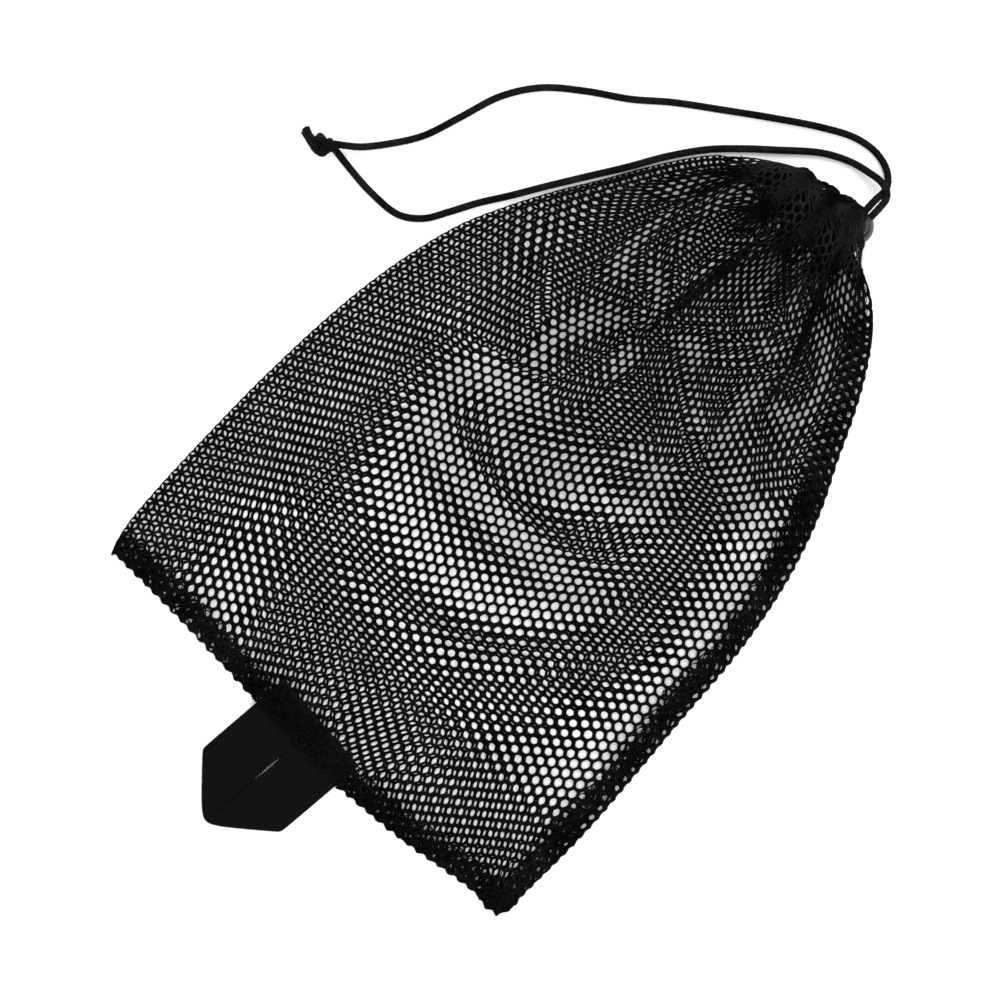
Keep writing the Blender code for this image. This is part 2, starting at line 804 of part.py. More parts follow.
net_back_panel(net_black, root)
net_front_panel(net_black, root)
hem_outer(seam_black, root)
hem_inner(seam_black, root)
side_seam_allowance(seam_black, root)
bottom_seam_allowance(seam_black, root)
side_seam_thread(thread_black, root)
bottom_seam_thread(thread_black, root)
hem_thread(thread_black, root)
tack_thread("tack_thread_left", -10.6, thread_black, root)
tack_thread("tack_thread_right", 15.6, thread_black, root)
webbing_end("webbing_end_left", -1, strap_black, root)
webbing_end("webbing_end_right", 1, strap_black, root)
webbing_loop(strap_black, loop_pivot)

tube("drawcord_channel", spline_points(channel_route(), 6.5, 3.2)[0], CORD_R, cord_black, root)
tube("drawcord_outer_run", spline_points(outer_route(), 9.6, 4.2)[0], CORD_R, cord_black, root)
tube("drawcord_inner_run", spline_points(inner_route(), 9.6, 4.2)[0], CORD_R, cord_black, root)
cord_knot(cord_black, root)
cord_tail("cord_tail_1", (-174.2, 191.3, 3.3), (-179.6, 191.0, 1.75), cord_black, root)
cord_tail("cord_tail_2", (-174.0, 191.8, 7.0), (-179.4, 192.3, 5.5), cord_black, root)

lock_barrel(lock_grey, lock_slider)
lock_plunger(lock_grey, plunger_slider)
lock_spring(spring_steel, lock_slider)
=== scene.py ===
"""Looks of the mesh ball bag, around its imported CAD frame.

The net is one tube of cloth, laid flat, drawn onto its cord and relaxed as
position based cloth; the knitted mesh, seams and stitches are built on the
relaxed surface. Work inside is in millimetres in the bag's own frame.
"""

import math

import bmesh
import bpy
import numpy as np
from mathutils import Matrix, Vector

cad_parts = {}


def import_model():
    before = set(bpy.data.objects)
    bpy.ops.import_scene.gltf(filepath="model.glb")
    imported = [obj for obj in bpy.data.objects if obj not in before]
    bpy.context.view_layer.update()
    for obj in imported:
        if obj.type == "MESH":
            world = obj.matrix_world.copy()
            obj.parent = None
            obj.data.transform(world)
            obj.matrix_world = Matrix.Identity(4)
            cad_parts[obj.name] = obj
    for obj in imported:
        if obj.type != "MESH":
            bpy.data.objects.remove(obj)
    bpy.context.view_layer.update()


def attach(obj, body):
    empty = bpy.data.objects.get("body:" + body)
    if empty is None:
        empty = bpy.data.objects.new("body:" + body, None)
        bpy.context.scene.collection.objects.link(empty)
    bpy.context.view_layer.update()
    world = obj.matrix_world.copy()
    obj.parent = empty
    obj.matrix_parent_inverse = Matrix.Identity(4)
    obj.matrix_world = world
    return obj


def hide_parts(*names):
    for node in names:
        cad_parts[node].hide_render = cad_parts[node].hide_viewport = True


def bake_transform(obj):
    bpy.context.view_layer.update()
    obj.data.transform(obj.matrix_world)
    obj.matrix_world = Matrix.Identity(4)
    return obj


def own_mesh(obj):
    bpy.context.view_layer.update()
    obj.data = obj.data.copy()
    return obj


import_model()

STEPS = 320


# ------------------------------------------------------------- bag measures, mm
RX, RY = -0.62, -136.61  # the bag's bottom seam middle is the local origin

WIDE = 230.0  # one panel, flat
TALL = 357.0  # bottom seam to the mouth's folded edge
CORD_ROW = 344.0  # where the cord runs inside the hem
HEM_ROW = 331.0  # where the hem is stitched down

OUTLINE = (
    (0.0, -115.6, 118.0), (20.0, -118.6, 119.8), (50.0, -119.4, 120.7), (84.0, -119.2, 119.4),
    (116.0, -117.9, 117.6), (148.0, -115.2, 116.2), (170.0, -111.8, 113.8), (190.0, -107.2, 110.2),
    (209.0, -101.2, 105.0), (226.0, -92.9, 98.8), (245.0, -82.2, 89.8), (264.0, -69.9, 81.6),
    (281.0, -59.4, 72.8), (298.0, -47.3, 61.0), (308.0, -38.4, 50.4), (318.0, -27.6, 38.0),
    (328.0, -12.0, 25.5),
)
BOTTOM = (
    (-116.0, -1.6), (-80.0, -2.2), (-40.0, -4.2), (0.0, -6.6), (40.0, -8.1),
    (64.0, -7.7), (84.0, -5.4), (100.0, -2.4), (118.0, -1.2),
)
LOCK = (25.25, 324.3)


def monotone(xs, ys, q):
    """Piecewise cubic through (xs, ys) without overshoot."""
    xs, ys = np.asarray(xs, float), np.asarray(ys, float)
    q = np.clip(np.asarray(q, float), xs[0], xs[-1])
    h = np.diff(xs)
    s = np.diff(ys) / h
    d = np.zeros(len(xs))
    d[0], d[-1] = s[0], s[-1]
    for i in range(1, len(xs) - 1):
        if s[i - 1] * s[i] > 0:
            a, b = 2 * h[i] + h[i - 1], h[i] + 2 * h[i - 1]
            d[i] = (a + b) / (a / s[i - 1] + b / s[i])
    k = np.clip(np.searchsorted(xs, q, side="right") - 1, 0, len(xs) - 2)
    t = (q - xs[k]) / h[k]
    return (
        (2 * t**3 - 3 * t**2 + 1) * ys[k] + (t**3 - 2 * t**2 + t) * h[k] * d[k]
        + (-2 * t**3 + 3 * t**2) * ys[k + 1] + (t**3 - t**2) * h[k] * d[k + 1]
    )


def ease(a, b, x):
    t = np.clip((np.asarray(x, float) - a) / (b - a), 0.0, 1.0)
    return t * t * (3 - 2 * t)


def outline(y):
    ys = [r[0] for r in OUTLINE]
    return monotone(ys, [r[1] for r in OUTLINE], y), monotone(ys, [r[2] for r in OUTLINE], y)


def bow(x):
    return monotone([r[0] for r in BOTTOM], [r[1] for r in BOTTOM], x)


def resample(line, n, closed):
    """Evenly spaced points on a polyline, and its length."""
    s = np.concatenate([[0], np.cumsum(np.linalg.norm(np.diff(line, axis=0), axis=1))])
    at = np.linspace(0, s[-1], n, endpoint=not closed)
    return np.stack([np.interp(at, s, line[:, i]) for i in range(line.shape[1])], 1), s[-1]


# ------------------------------------------------------------------- the cloth
# The net is a tube: column p runs round it (0 = left fold, half way = side
# seam, front first), row j runs from the bottom seam to the mouth.
AROUND = 180
ROWS = 141
HALF = AROUND // 2
DU = 2 * WIDE / AROUND
DV = TALL / (ROWS - 1)


# The hem, drawn onto the cord, at three rows: from its left end over the top
# to its right end, then back underneath.
STITCH_TOP = (
    (-33.5, 311.5, 4.6), (-28.0, 308.6, 10.0), (-19.0, 305.6, 14.6), (-8.0, 303.2, 17.8), (4.0, 301.8, 19.4),
    (15.0, 301.6, 19.0), (26.0, 303.2, 16.2), (36.0, 307.6, 10.6), (42.8, 312.4, 4.8),
)
STITCH_LOW = (
    (42.8, 312.4, 4.8), (37.0, 309.0, 1.7), (25.0, 304.4, 1.4), (10.0, 301.6, 1.4), (-6.0, 302.4, 1.4),
    (-20.0, 306.0, 1.4), (-29.5, 310.2, 1.8), (-33.5, 311.5, 4.6),
)
CORD_TOP = (
    (-24.0, 317.8, 7.6), (-21.0, 316.8, 13.4), (-14.0, 315.6, 18.6), (-5.0, 314.8, 21.8), (4.0, 313.8, 22.9),
    (13.0, 313.0, 21.9), (21.0, 313.6, 19.2), (28.0, 315.8, 15.4), (34.0, 318.6, 9.0),
)
CORD_LOW = (
    (34.0, 318.6, 9.0), (32.0, 315.0, 3.6), (25.0, 312.4, 2.0), (10.0, 312.2, 1.6), (-5.0, 314.0, 1.6),
    (-16.0, 316.0, 1.9), (-22.4, 317.6, 3.6), (-24.0, 317.8, 7.6),
)
EDGE_TOP = (
    (-12.5, 323.4, 9.4), (-10.4, 324.4, 14.4), (-5.0, 325.8, 18.6), (2.4, 327.4, 21.2), (9.0, 328.8, 22.2),
    (16.0, 330.4, 22.6), (21.0, 331.2, 22.6), (24.5, 331.6, 22.2), (27.2, 331.2, 21.2),
)
EDGE_LOW = (
    (27.2, 331.2, 21.2), (23.0, 329.0, 20.4), (17.2, 325.6, 18.0), (14.6, 323.4, 11.4), (9.0, 323.0, 6.4),
    (-1.0, 323.0, 4.4), (-8.6, 323.0, 5.4), (-12.5, 323.4, 9.4),
)


def open_spline(points, n):
    """n points, evenly spaced along a smooth open curve."""
    p = np.asarray(points, float)
    p = np.concatenate([2 * p[:1] - p[1:2], p, 2 * p[-1:] - p[-2:-1]])
    t = np.linspace(0, 1, 24, endpoint=False)[:, None]
    out = []
    for i in range(1, len(p) - 2):
        a, b, c, d = p[i - 1], p[i], p[i + 1], p[i + 2]
        out.append(0.5 * (2 * b + (c - a) * t + (2 * a - 5 * b + 4 * c - d) * t**2 + (3 * b - a - 3 * c + d) * t**3))
    return resample(np.concatenate(out + [p[-2:-1]]), n, False)[0]


def ring(top, low, n):
    """Both halves of one row as n points round, starting at the left end."""
    half = n // 2
    return np.concatenate([open_spline(top, half + 1)[:-1], open_spline(low, half + 1)[:-1]])


def waves(n, low, high, count, seed):
    """Irregular periodic wave between low and high, count crests in n samples."""
    rng = np.random.RandomState(seed)
    step = rng.uniform(0.72, 1.28, count * 2)
    edge = np.concatenate([[0], np.cumsum(step)]) / step.sum() * n
    level = np.where(np.arange(count * 2) % 2 == 0, high, low) * 1.0
    span = high - low
    level += rng.uniform(-0.22, 0.22, count * 2) * span
    level = np.append(level, level[0])
    k = np.clip(np.searchsorted(edge, np.arange(n), side="right") - 1, 0, count * 2 - 1)
    t = (np.arange(n) - edge[k]) / (edge[k + 1] - edge[k])
    t = t * t * (3 - 2 * t)
    return level[k] * (1 - t) + level[k + 1] * t


def keep_off_lock(x, up, extra=0.0):
    """Move points out of the lock's room, over it where `up`, else aside."""
    r_ball, r_push = 9.3 + extra, 6.0 + extra
    top_ball, top_push = 14.6 + extra, 20.0 + extra
    near = np.clip(x[:, 1], LOCK[1], LOCK[1] + 6.0)
    dx, dy = x[:, 0] - LOCK[0], x[:, 1] - near
    r = np.hypot(dx, dy) + 1e-9
    for radius, top in ((r_ball, top_ball), (r_push, top_push)):
        inside = (r < radius) & (x[:, 2] < top)
        rise = inside & up
        x[rise, 2] = top
        aside = inside & ~up
        # never pushed to the far side: always back towards the mouth
        gx = np.where(dx > 0.3 * radius, dx, np.minimum(dx, -0.25 * radius))
        gy = np.minimum(dy, -0.2)
        g = np.hypot(gx, gy)
        x[aside, 0] = LOCK[0] + gx[aside] / g[aside] * radius
        x[aside, 1] = near[aside] + gy[aside] / g[aside] * radius
    return x


def hem_rows(fine=2880):
    """Outer hem layer by row, from the stitch line to the folded edge."""
    A, B, C = (ring(t, l, fine) for t, l in ((STITCH_TOP, STITCH_LOW), (CORD_TOP, CORD_LOW), (EDGE_TOP, EDGE_LOW)))
    up = np.clip((B[:, 2] - 4.0) / 13.0, 0, 1)  # 0 beneath, 1 on top
    ends = ease(-24.0, -14.0, B[:, 0]) * (1 - 0.6 * ease(24.0, 34.0, B[:, 0]))
    w = (waves(fine, -1.0, 1.0, 9, 7) + 1) / 2
    w2 = waves(fine, -1.0, 1.0, 23, 12)
    lean = waves(fine, -1.0, 1.0, 7, 21)
    squeeze = 1 - ease(0.25, 0.62, w)  # the valleys hold the spare cloth
    half = fine // 2
    rows = {}
    for j in range(ROWS):
        v = j * DV
        if v < HEM_ROW - 1e-6:
            continue
        t = (v - HEM_ROW) / (CORD_ROW - HEM_ROW)
        c = A * (1 - t) * (2 - t) / 2 + B * t * (2 - t) + C * t * (t - 1) / 2
        tangent = np.roll(c, -20, 0) - np.roll(c, 20, 0)
        tangent[:, 1] = 0
        tangent /= np.linalg.norm(tangent, axis=1)[:, None] + 1e-9
        out = np.stack([-tangent[:, 2], 0 * tangent[:, 0], tangent[:, 0]], 1)
        a = ease(HEM_ROW, CORD_ROW, v)
        b = ease(CORD_ROW + 2.0, TALL, v)  # beyond the cord
        high = (5.6 + 1.0 * a - 0.4 * b) * (0.3 + 0.7 * up) * (0.45 + 0.55 * ends)
        low = -4.2 * (1 - a) * up - 4.6 * b * (0.35 + 0.65 * up)
        n = low + (high - low) * w + 0.45 * w2 * (0.2 + 0.8 * up)
        n = np.where(up < 0.35, np.clip(n, -5.0, 0.9), n)
        x = c + out * n[:, None]
        # the lobes roll over, so their crests reach further out of the mouth
        x[:, 1] += 1.5 * b * lean + 1.6 * b * (w - 0.5)
        x[:, 0] += 1.3 * lean * ends * (0.4 + 0.6 * b)
        x[:, 2] = np.maximum(x[:, 2], 0.75 + 0.25 * w)
        x = keep_off_lock(x, x[:, 2] > 8.8)
        loop = np.concatenate([x, x[:1]])
        ds = np.linalg.norm(np.diff(loop, axis=0), axis=1)
        parts = []
        for first, last in ((0, half), (half, fine)):
            d, q = ds[first:last], squeeze[first:last]
            spare = max(0.0, WIDE * 0.97 - d.sum())
            k = min(spare / (d * q).sum(), 6.0)
            s = np.concatenate([[0], np.cumsum(d * (1 + k * q))])
            at = np.linspace(0, s[-1], HALF + 1)[:-1]
            parts.append(np.stack([np.interp(at, s, loop[first : last + 1, i]) for i in range(3)], 1))
        rows[j] = np.concatenate(parts)
        rows[("length", j)] = ds.sum()
    # no sharp corners from one column to the next, least of all at the edge
    for j in range(ROWS):
        if j not in rows:
            continue
        soft = int(2 + 5 * ease(CORD_ROW, TALL, j * DV))
        for _ in range(soft):
            x = rows[j]
            rows[j] = 0.5 * x + 0.25 * (np.roll(x, 1, 0) + np.roll(x, -1, 0))
    return rows


def side_line(which):
    ys = np.linspace(0, 326, 1631)
    xs = outline(ys)[which]
    s = np.concatenate([[0], np.cumsum(np.hypot(np.diff(xs), np.diff(ys)))])
    return s, xs, ys


def first_guess():
    """Cloth laid on the silhouette, with folds that grow towards the mouth."""
    hem = hem_rows()
    first = min(k for k in hem if isinstance(k, int))
    X = np.zeros((AROUND, ROWS, 3))
    p = np.arange(AROUND)
    front = p <= HALF
    u = np.where(front, p, AROUND - p) * DU  # distance from the left fold
    bx = -115.6 + (118.0 + 115.6) * u / WIDE
    strap = ease(-30.0, -25.0, bx) * (1 - ease(30.0, 35.0, bx))  # where the webbing is sewn in
    base = np.stack([bx, bow(bx), np.where(front, 2.9 + 1.5 * strap, 0.75)], 1)
    top = hem[first]
    (sl, xl, yl), (sr, xr, yr) = side_line(0), side_line(1)
    v_side = 325.0
    for j in range(first):
        v = j * DV
        t = v / (first * DV)
        # y along each side line, then across
        yleft = np.interp(v * np.interp(309.0, yl, sl) / v_side, sl, yl)
        yright = np.interp(v * np.interp(309.0, yr, sr) / v_side, sr, yr)
        k = u / WIDE
        y_mid = bow(0.0) + (top[:, 1].mean() - bow(0.0)) * t
        y = (1 - k) * yleft + k * yright
        bulge = 4 * k * (1 - k)
        y = y * (1 - bulge) + bulge * (base[:, 1] + (top[:, 1] - base[:, 1]) * t)
        L, R = outline(y)
        kk = (top[:, 0] - top[0, 0]) / (top[HALF, 0] - top[0, 0])
        s = t ** 1.5
        kx = k * (1 - ease(0.5, 1.0, t)) + ease(0.5, 1.0, t) * np.clip(kk, 0, 1)
        x = L + (R - L) * kx
        z = base[:, 2] * (1 - s) + top[:, 2] * s
        X[:, j] = np.stack([x, y, z], 1)
    for j in range(first, ROWS):
        X[:, j] = hem[j]
    return X, hem, first


def relax(quick=False):
    """Position based cloth: stretch, shear, bending, table, layers, friction."""
    X, hem, first = first_guess()
    rng = np.random.RandomState(3)
    P, J = AROUND, ROWS
    W = np.ones((P, J, 1))
    W[:, 0] = 0  # bottom seam
    W[:, first:] = 0  # hem, drawn onto the cord
    # side lines follow the silhouette up to the gathers
    last = int(324.0 / DV)
    target = {}
    for col, which in ((0, 0), (HALF, 1)):
        s, xs, ys = side_line(which)
        v = np.arange(J) * DV
        scale = np.interp(309.0, ys, s) / 325.0
        y = np.interp(v * scale, s, ys)
        x = outline(y)[which]
        target[col] = np.stack([x, y + bow(x) * (1 - ease(0, 60, y)), 1.5 + 3.1 * ease(270, 325, v)], 1)
        n = np.arange(0, last)
        X[col, n] = target[col][n]
        W[col, n] = 0
    y0 = X[:, :, 1]
    fade = 1 - ease(0, 60, y0)
    fade[:, 0] = 0
    fade[[0, HALF]] = 0
    X[:, :, 1] += bow(X[:, :, 0]) * fade
    # small unevenness for folds to start from
    noise = rng.normal(0, 1, (P, J))
    for _ in range(14):
        noise = 0.25 * (np.roll(noise, 1, 0) + np.roll(noise, -1, 0)) + 0.25 * (
            np.concatenate([noise[:, :1], noise[:, :-1]], 1) + np.concatenate([noise[:, 1:], noise[:, -1:]], 1)
        )
    noise /= noise.std()
    X[:, :, 2] += (1.2 + 0.6 * noise) * (W[:, :, 0] > 0)
    V = np.zeros_like(X)
    q = (P - np.arange(P)) % P
    gu = np.arange(1, HALF)[:, None] * DU
    gv = np.arange(J)[None] * DV
    seam = ease(212, 219, gu) * (1 - 0.6 * ease(225, 230, gu))
    low_band = 1 - ease(8.0, 14.0, gv)
    gx = -115.8 + 233.8 * gu / WIDE
    strap = ease(-30.0, -25.0, gx) * (1 - ease(30.0, 35.0, gx)) * (1 - ease(9.0, 16.0, gv))
    GAPS = 1.0 + 1.3 * np.maximum(seam, low_band) + 1.4 * strap

    def pair(a, b, wa, wb, low, high, k_low, k_high):
        d = b - a
        length = np.sqrt((d * d).sum(2, keepdims=True)) + 1e-9
        over = np.where(length > high, (length - high) * k_high, np.where(length < low, (length - low) * k_low, 0.0))
        d *= over / length / np.maximum(wa + wb, 1e-9)
        a += d * wa
        b -= d * wb

    def across(low, high, kl, kh):
        for s in (0, 1):
            if s == 0:
                pair(X[0::2], X[1::2], W[0::2], W[1::2], low, high, kl, kh)
            else:
                pair(X[1:-1:2], X[2::2], W[1:-1:2], W[2::2], low, high, kl, kh)
                pair(X[-1:], X[:1], W[-1:], W[:1], low, high, kl, kh)

    def along(low, high, kl, kh):
        for s in (0, 1):
            a, b = X[:, s:-1:2], X[:, s + 1::2]
            n = min(a.shape[1], b.shape[1])
            pair(a[:, :n], b[:, :n], W[:, s:-1:2][:, :n], W[:, s + 1::2][:, :n], low, high, kl, kh)

    def diagonal(low, high, kl, kh):
        for sp in (0, 1):
            for sj in (0, 1):
                ia = np.arange(sp, P, 2)
                ib = (ia + 1) % P
                ja = np.arange(sj, J - 1, 2)
                for flip in (0, 1):
                    j1, j2 = (ja, ja + 1) if not flip else (ja + 1, ja)
                    A, B = X[ia][:, j1], X[ib][:, j2]
                    pair(A, B, W[ia][:, j1], W[ib][:, j2], low, high, kl, kh)
                    X[np.ix_(ia, j1)] = A
                    X[np.ix_(ib, j2)] = B

    diag = math.hypot(DU, DV)
    steps = 60 if quick else STEPS
    for it in range(steps):
        last_x = X.copy()
        V *= 0.93
        X += V * (W > 0)
        X[:, :, 2] -= 0.018 * (W[:, :, 0] > 0)
        for _ in range(3):
            along(DV * 0.955, DV * 1.03, 0.9, 0.9)
            across(DU * 0.70, DU * 1.03, 0.35, 0.9)
            if _ == 0:
                diagonal(diag * 0.84, diag * 1.16, 0.4, 0.4)
        # bending: pull each point towards its smooth neighbourhood
        lap = 0.25 * (np.roll(X, 1, 0) + np.roll(X, -1, 0))
        lap[:, 1:-1] += 0.25 * (X[:, 2:] + X[:, :-2])
        lap[:, 1:-1] -= X[:, 1:-1]
        lap[:, 0] = 0
        lap[:, -1] = 0
        bi = 0.25 * (np.roll(lap, 1, 0) + np.roll(lap, -1, 0))
        bi[:, 1:-1] += 0.25 * (lap[:, 2:] + lap[:, :-2])
        bi -= lap
        X -= 0.55 * bi * (W > 0)
        # front layer over back layer
        f, b = X[1:HALF], X[q[1:HALF]]
        gap = GAPS
        d = gap - (f[:, :, 2] - b[:, :, 2])
        d = np.where(np.arange(J)[None] * DV < 300, np.maximum(d, 0), 0)
        X[1:HALF, :, 2] += 0.5 * d * W[1:HALF, :, 0]
        X[q[1:HALF], :, 2] -= 0.5 * d * W[q[1:HALF], :, 0]
        # table
        low = X[:, :, 2] < 0.6
        X[:, :, 2] = np.where(low & (W[:, :, 0] > 0), 0.6, X[:, :, 2])
        X[:, :, :2] = last_x[:, :, :2] + (X[:, :, :2] - last_x[:, :, :2]) * np.where(low, 0.5, 1.0)[..., None]
        if it % 4 == 0:
            flat = X[:, :first].reshape(-1, 3)
            keep_off_lock(flat, flat[:, 2] > 9.5)
            X[:, :first] = flat.reshape(P, first, 3)
        V = (X - last_x) * (W > 0)
        V = np.clip(V, -1.0, 1.0)
    return X, hem, first


# Long soft folds in the upper layer: (height, half width, points along the ridge).
FOLDS = (
    (5.4, 3.2, ((-77.0, 92.0), (-49.0, 74.0), (-17.0, 67.0), (13.0, 71.0), (37.0, 80.0), (57.0, 97.0), (72.0, 119.0), (85.0, 143.0), (94.0, 172.0))),
    (10.5, 7.2, ((-83.0, 158.0), (-51.0, 138.0), (-19.0, 129.0), (7.0, 127.0), (31.0, 131.0), (50.0, 143.0), (58.0, 162.0), (61.0, 188.0))),
    (10.4, 7.5, ((-92.0, 182.0), (-60.0, 174.0), (-32.0, 178.0), (-15.0, 202.0), (-9.0, 234.0), (-7.0, 269.0))),
    (6.3, 7.0, ((-10.0, 149.0), (-1.0, 184.0), (1.0, 220.0), (5.0, 247.0), (9.0, 272.0))),
    (8.9, 7.0, ((5.0, 247.0), (21.0, 223.0), (42.0, 207.0), (56.0, 187.0))),
    (4.4, 9.0, ((-58.0, 54.0), (-24.0, 32.0), (9.0, 22.0), (39.0, 27.0), (69.0, 42.0), (90.0, 67.0))),
    (5.2, 7.0, ((24.0, 259.0), (49.0, 237.0), (63.0, 215.0), (71.0, 187.0))),
)

STEEP, GENTLE = 0.90, 1.50  # of a fold's half width
REACH = 58.0  # mm, how far from a fold the cloth is drawn in


def drape(grid):
    """Raise the upper layer into folds; the cloth is drawn in from both sides."""
    f = grid[1:HALF].copy()
    x, y = f[..., 0].copy(), f[..., 1].copy()
    u = np.arange(1, HALF)[:, None] * DU
    v = np.arange(ROWS)[None] * DV
    hold = ease(2.0, 26.0, u) * ease(2.0, 24.0, WIDE - u) * ease(6.0, 34.0, v) * (1 - ease(296.0, 326.0, v))
    move = np.zeros_like(f)
    for height, width, points in FOLDS:
        line = open_spline([(a, b, 0.0) for a, b in points], 90)[:, :2]
        t = np.gradient(line, axis=0)
        t /= np.linalg.norm(t, axis=1)[:, None]
        d2 = (x[..., None] - line[:, 0]) ** 2 + (y[..., None] - line[:, 1]) ** 2
        k = d2.argmin(-1)
        px, py = x - line[k, 0], y - line[k, 1]
        nx, ny = -t[k, 1], t[k, 0]
        d = px * nx + py * ny
        along = px * t[k, 0] + py * t[k, 1]
        part = k / 89.0
        grow = ease(0.0, 0.28, part) * (1 - ease(0.72, 1.0, part)) * np.exp(-((along / 14.0) ** 2))
        h = height * grow
        # one side of a fold is steep and the other runs out gently
        wide = np.where(d > 0, STEEP, GENTLE) * width
        q = d / wide
        z = h * np.exp(-(q**2))
        # how much the fold shortens the cloth on this side of it
        s = np.linspace(0, 4, 81)
        used = np.zeros_like(q)
        for on, w in ((d > 0, STEEP * width), (d <= 0, GENTLE * width)):
            slope = (height / w) * -2 * s * np.exp(-(s**2))
            lost = np.concatenate([[0], np.cumsum((1 - 1 / np.sqrt(1 + slope**2))[:-1] * 0.05)]) * w
            used[on] = np.interp(np.abs(q[on]), s, lost)
        reach = REACH if width > 5 else 14.0  # a narrow crease draws little in
        pull = used * np.sign(q) * np.exp(-((d / reach) ** 2)) * grow**2
        move[..., 0] -= nx * pull
        move[..., 1] -= ny * pull
        move[..., 2] += z
    grid[1:HALF] = f + move * hold[..., None]
    return grid


def surface(grid, u, v):
    """Cubic B-spline of the cloth grid: place and unit normal at (u, v) mm."""
    P, J = grid.shape[:2]
    a = np.asarray(u, float) / DU
    b = np.clip(np.asarray(v, float) / DV, 0.0, J - 1.0)
    ext = np.concatenate([2 * grid[:, :1] - grid[:, 1:2], grid, 2 * grid[:, -1:] - grid[:, -2:-1]], 1)
    i, j = np.floor(a).astype(int), np.minimum(np.floor(b).astype(int), J - 2)
    s, t = a - i, b - j

    def basis(x):
        return ((1 - x) ** 3 / 6, (3 * x**3 - 6 * x**2 + 4) / 6, (-3 * x**3 + 3 * x**2 + 3 * x + 1) / 6, x**3 / 6)

    def slope(x):
        return (-((1 - x) ** 2) / 2, (3 * x**2 - 4 * x) / 2, (-3 * x**2 + 2 * x + 1) / 2, x**2 / 2)

    bs, bt, ds, dt = basis(s), basis(t), slope(s), slope(t)
    out = np.zeros((len(a), 3))
    du = np.zeros((len(a), 3))
    dv = np.zeros((len(a), 3))
    for m in range(4):
        row = (i + m - 1) % P
        for n in range(4):
            g = ext[row, j + n]
            out += g * (bs[m] * bt[n])[:, None]
            du += g * (ds[m] * bt[n])[:, None]
            dv += g * (bs[m] * dt[n])[:, None]
    nrm = np.cross(du, dv)
    nrm /= np.linalg.norm(nrm, axis=1)[:, None] + 1e-12
    return out, nrm


# --------------------------------------------------------------------- helpers
def world(points):
    """Bag frame in mm to the row frame in metres."""
    p = np.array(points, float).reshape(-1, 3)
    return (p + [RX, RY, 0.0]) * 0.001


def mesh_object(name, verts, faces, mat, uv=None, smooth=True):
    """faces: (n, 3) or (n, 4) integer array, or a list of both."""
    groups = faces if isinstance(faces, list) else [faces]
    groups = [np.asarray(g, np.int32) for g in groups if len(g)]
    mesh = bpy.data.meshes.new(name)
    co = world(verts)
    loops = np.concatenate([g.ravel() for g in groups])
    counts = np.concatenate([np.full(len(g), g.shape[1]) for g in groups])
    mesh.vertices.add(len(co))
    mesh.vertices.foreach_set("co", co.astype(np.float32).ravel())
    mesh.loops.add(len(loops))
    mesh.loops.foreach_set("vertex_index", loops)
    mesh.polygons.add(len(counts))
    mesh.polygons.foreach_set("loop_start", np.concatenate([[0], np.cumsum(counts)[:-1]]).astype(np.int32))
    mesh.update(calc_edges=True)
    mesh.validate()
    mesh.polygons.foreach_set("use_smooth", np.full(len(mesh.polygons), smooth))
    if uv is not None:
        layer = mesh.uv_layers.new(name="cloth")
        idx = np.zeros(len(mesh.loops), np.int32)
        mesh.loops.foreach_get("vertex_index", idx)
        layer.data.foreach_set("uv", np.asarray(uv, np.float32)[idx].ravel())
    mesh.materials.append(mat)
    obj = bpy.data.objects.new(name, mesh)
    bpy.context.scene.collection.objects.link(obj)
    return obj


def spline(points, longest, tightest=0.0):
    """Centripetal Catmull-Rom through points, evenly resampled."""
    p = np.asarray(points, float)
    p = np.concatenate([2 * p[:1] - p[1:2], p, 2 * p[-1:] - p[-2:-1]])
    out = []
    for i in range(1, len(p) - 2):
        a, b, c, d = p[i - 1 : i + 3]
        ta = 0.0
        tb = ta + max(np.linalg.norm(b - a), 1e-6) ** 0.5
        tc = tb + max(np.linalg.norm(c - b), 1e-6) ** 0.5
        td = tc + max(np.linalg.norm(d - c), 1e-6) ** 0.5
        t = np.linspace(tb, tc, 40, endpoint=False)[:, None]
        A1 = (tb - t) / (tb - ta) * a + (t - ta) / (tb - ta) * b
        A2 = (tc - t) / (tc - tb) * b + (t - tb) / (tc - tb) * c
        A3 = (td - t) / (td - tc) * c + (t - tc) / (td - tc) * d
        B1 = (tc - t) / (tc - ta) * A1 + (t - ta) / (tc - ta) * A2
        B2 = (td - t) / (td - tb) * A2 + (t - tb) / (td - tb) * A3
        out.append((tc - t) / (tc - tb) * B1 + (t - tb) / (tc - tb) * B2)
    line = np.concatenate(out + [p[-2:-1]])
    length = np.linalg.norm(np.diff(line, axis=0), axis=1).sum()
    return resample(line, int(math.ceil(length / longest)) + 1, False)


def frames(line, closed=False):
    """Parallel transported frame along a line: tangent, and two normals."""
    if closed:
        t = np.roll(line, -1, 0) - np.roll(line, 1, 0)
    else:
        t = np.gradient(line, axis=0)
    t /= np.linalg.norm(t, axis=1)[:, None] + 1e-12
    a = np.zeros_like(t)
    ref = np.array([0, 0, 1.0]) if abs(t[0, 2]) < 0.9 else np.array([1.0, 0, 0])
    x = np.cross(t[0], ref)
    x /= np.linalg.norm(x)
    for i in range(len(t)):
        x = x - t[i] * (x @ t[i])
        x /= np.linalg.norm(x) + 1e-12
        a[i] = x
    if closed:  # spread the leftover twist along the line
        end = a[-1] - t[0] * (a[-1] @ t[0])
        end /= np.linalg.norm(end)
        b0 = np.cross(t[0], a[0])
        twist = math.atan2(end @ b0, end @ a[0])
        ang = -twist * np.arange(len(t)) / len(t)
        b = np.cross(t, a)
        a = a * np.cos(ang)[:, None] + b * np.sin(ang)[:, None]
    return t, a, np.cross(t, a)


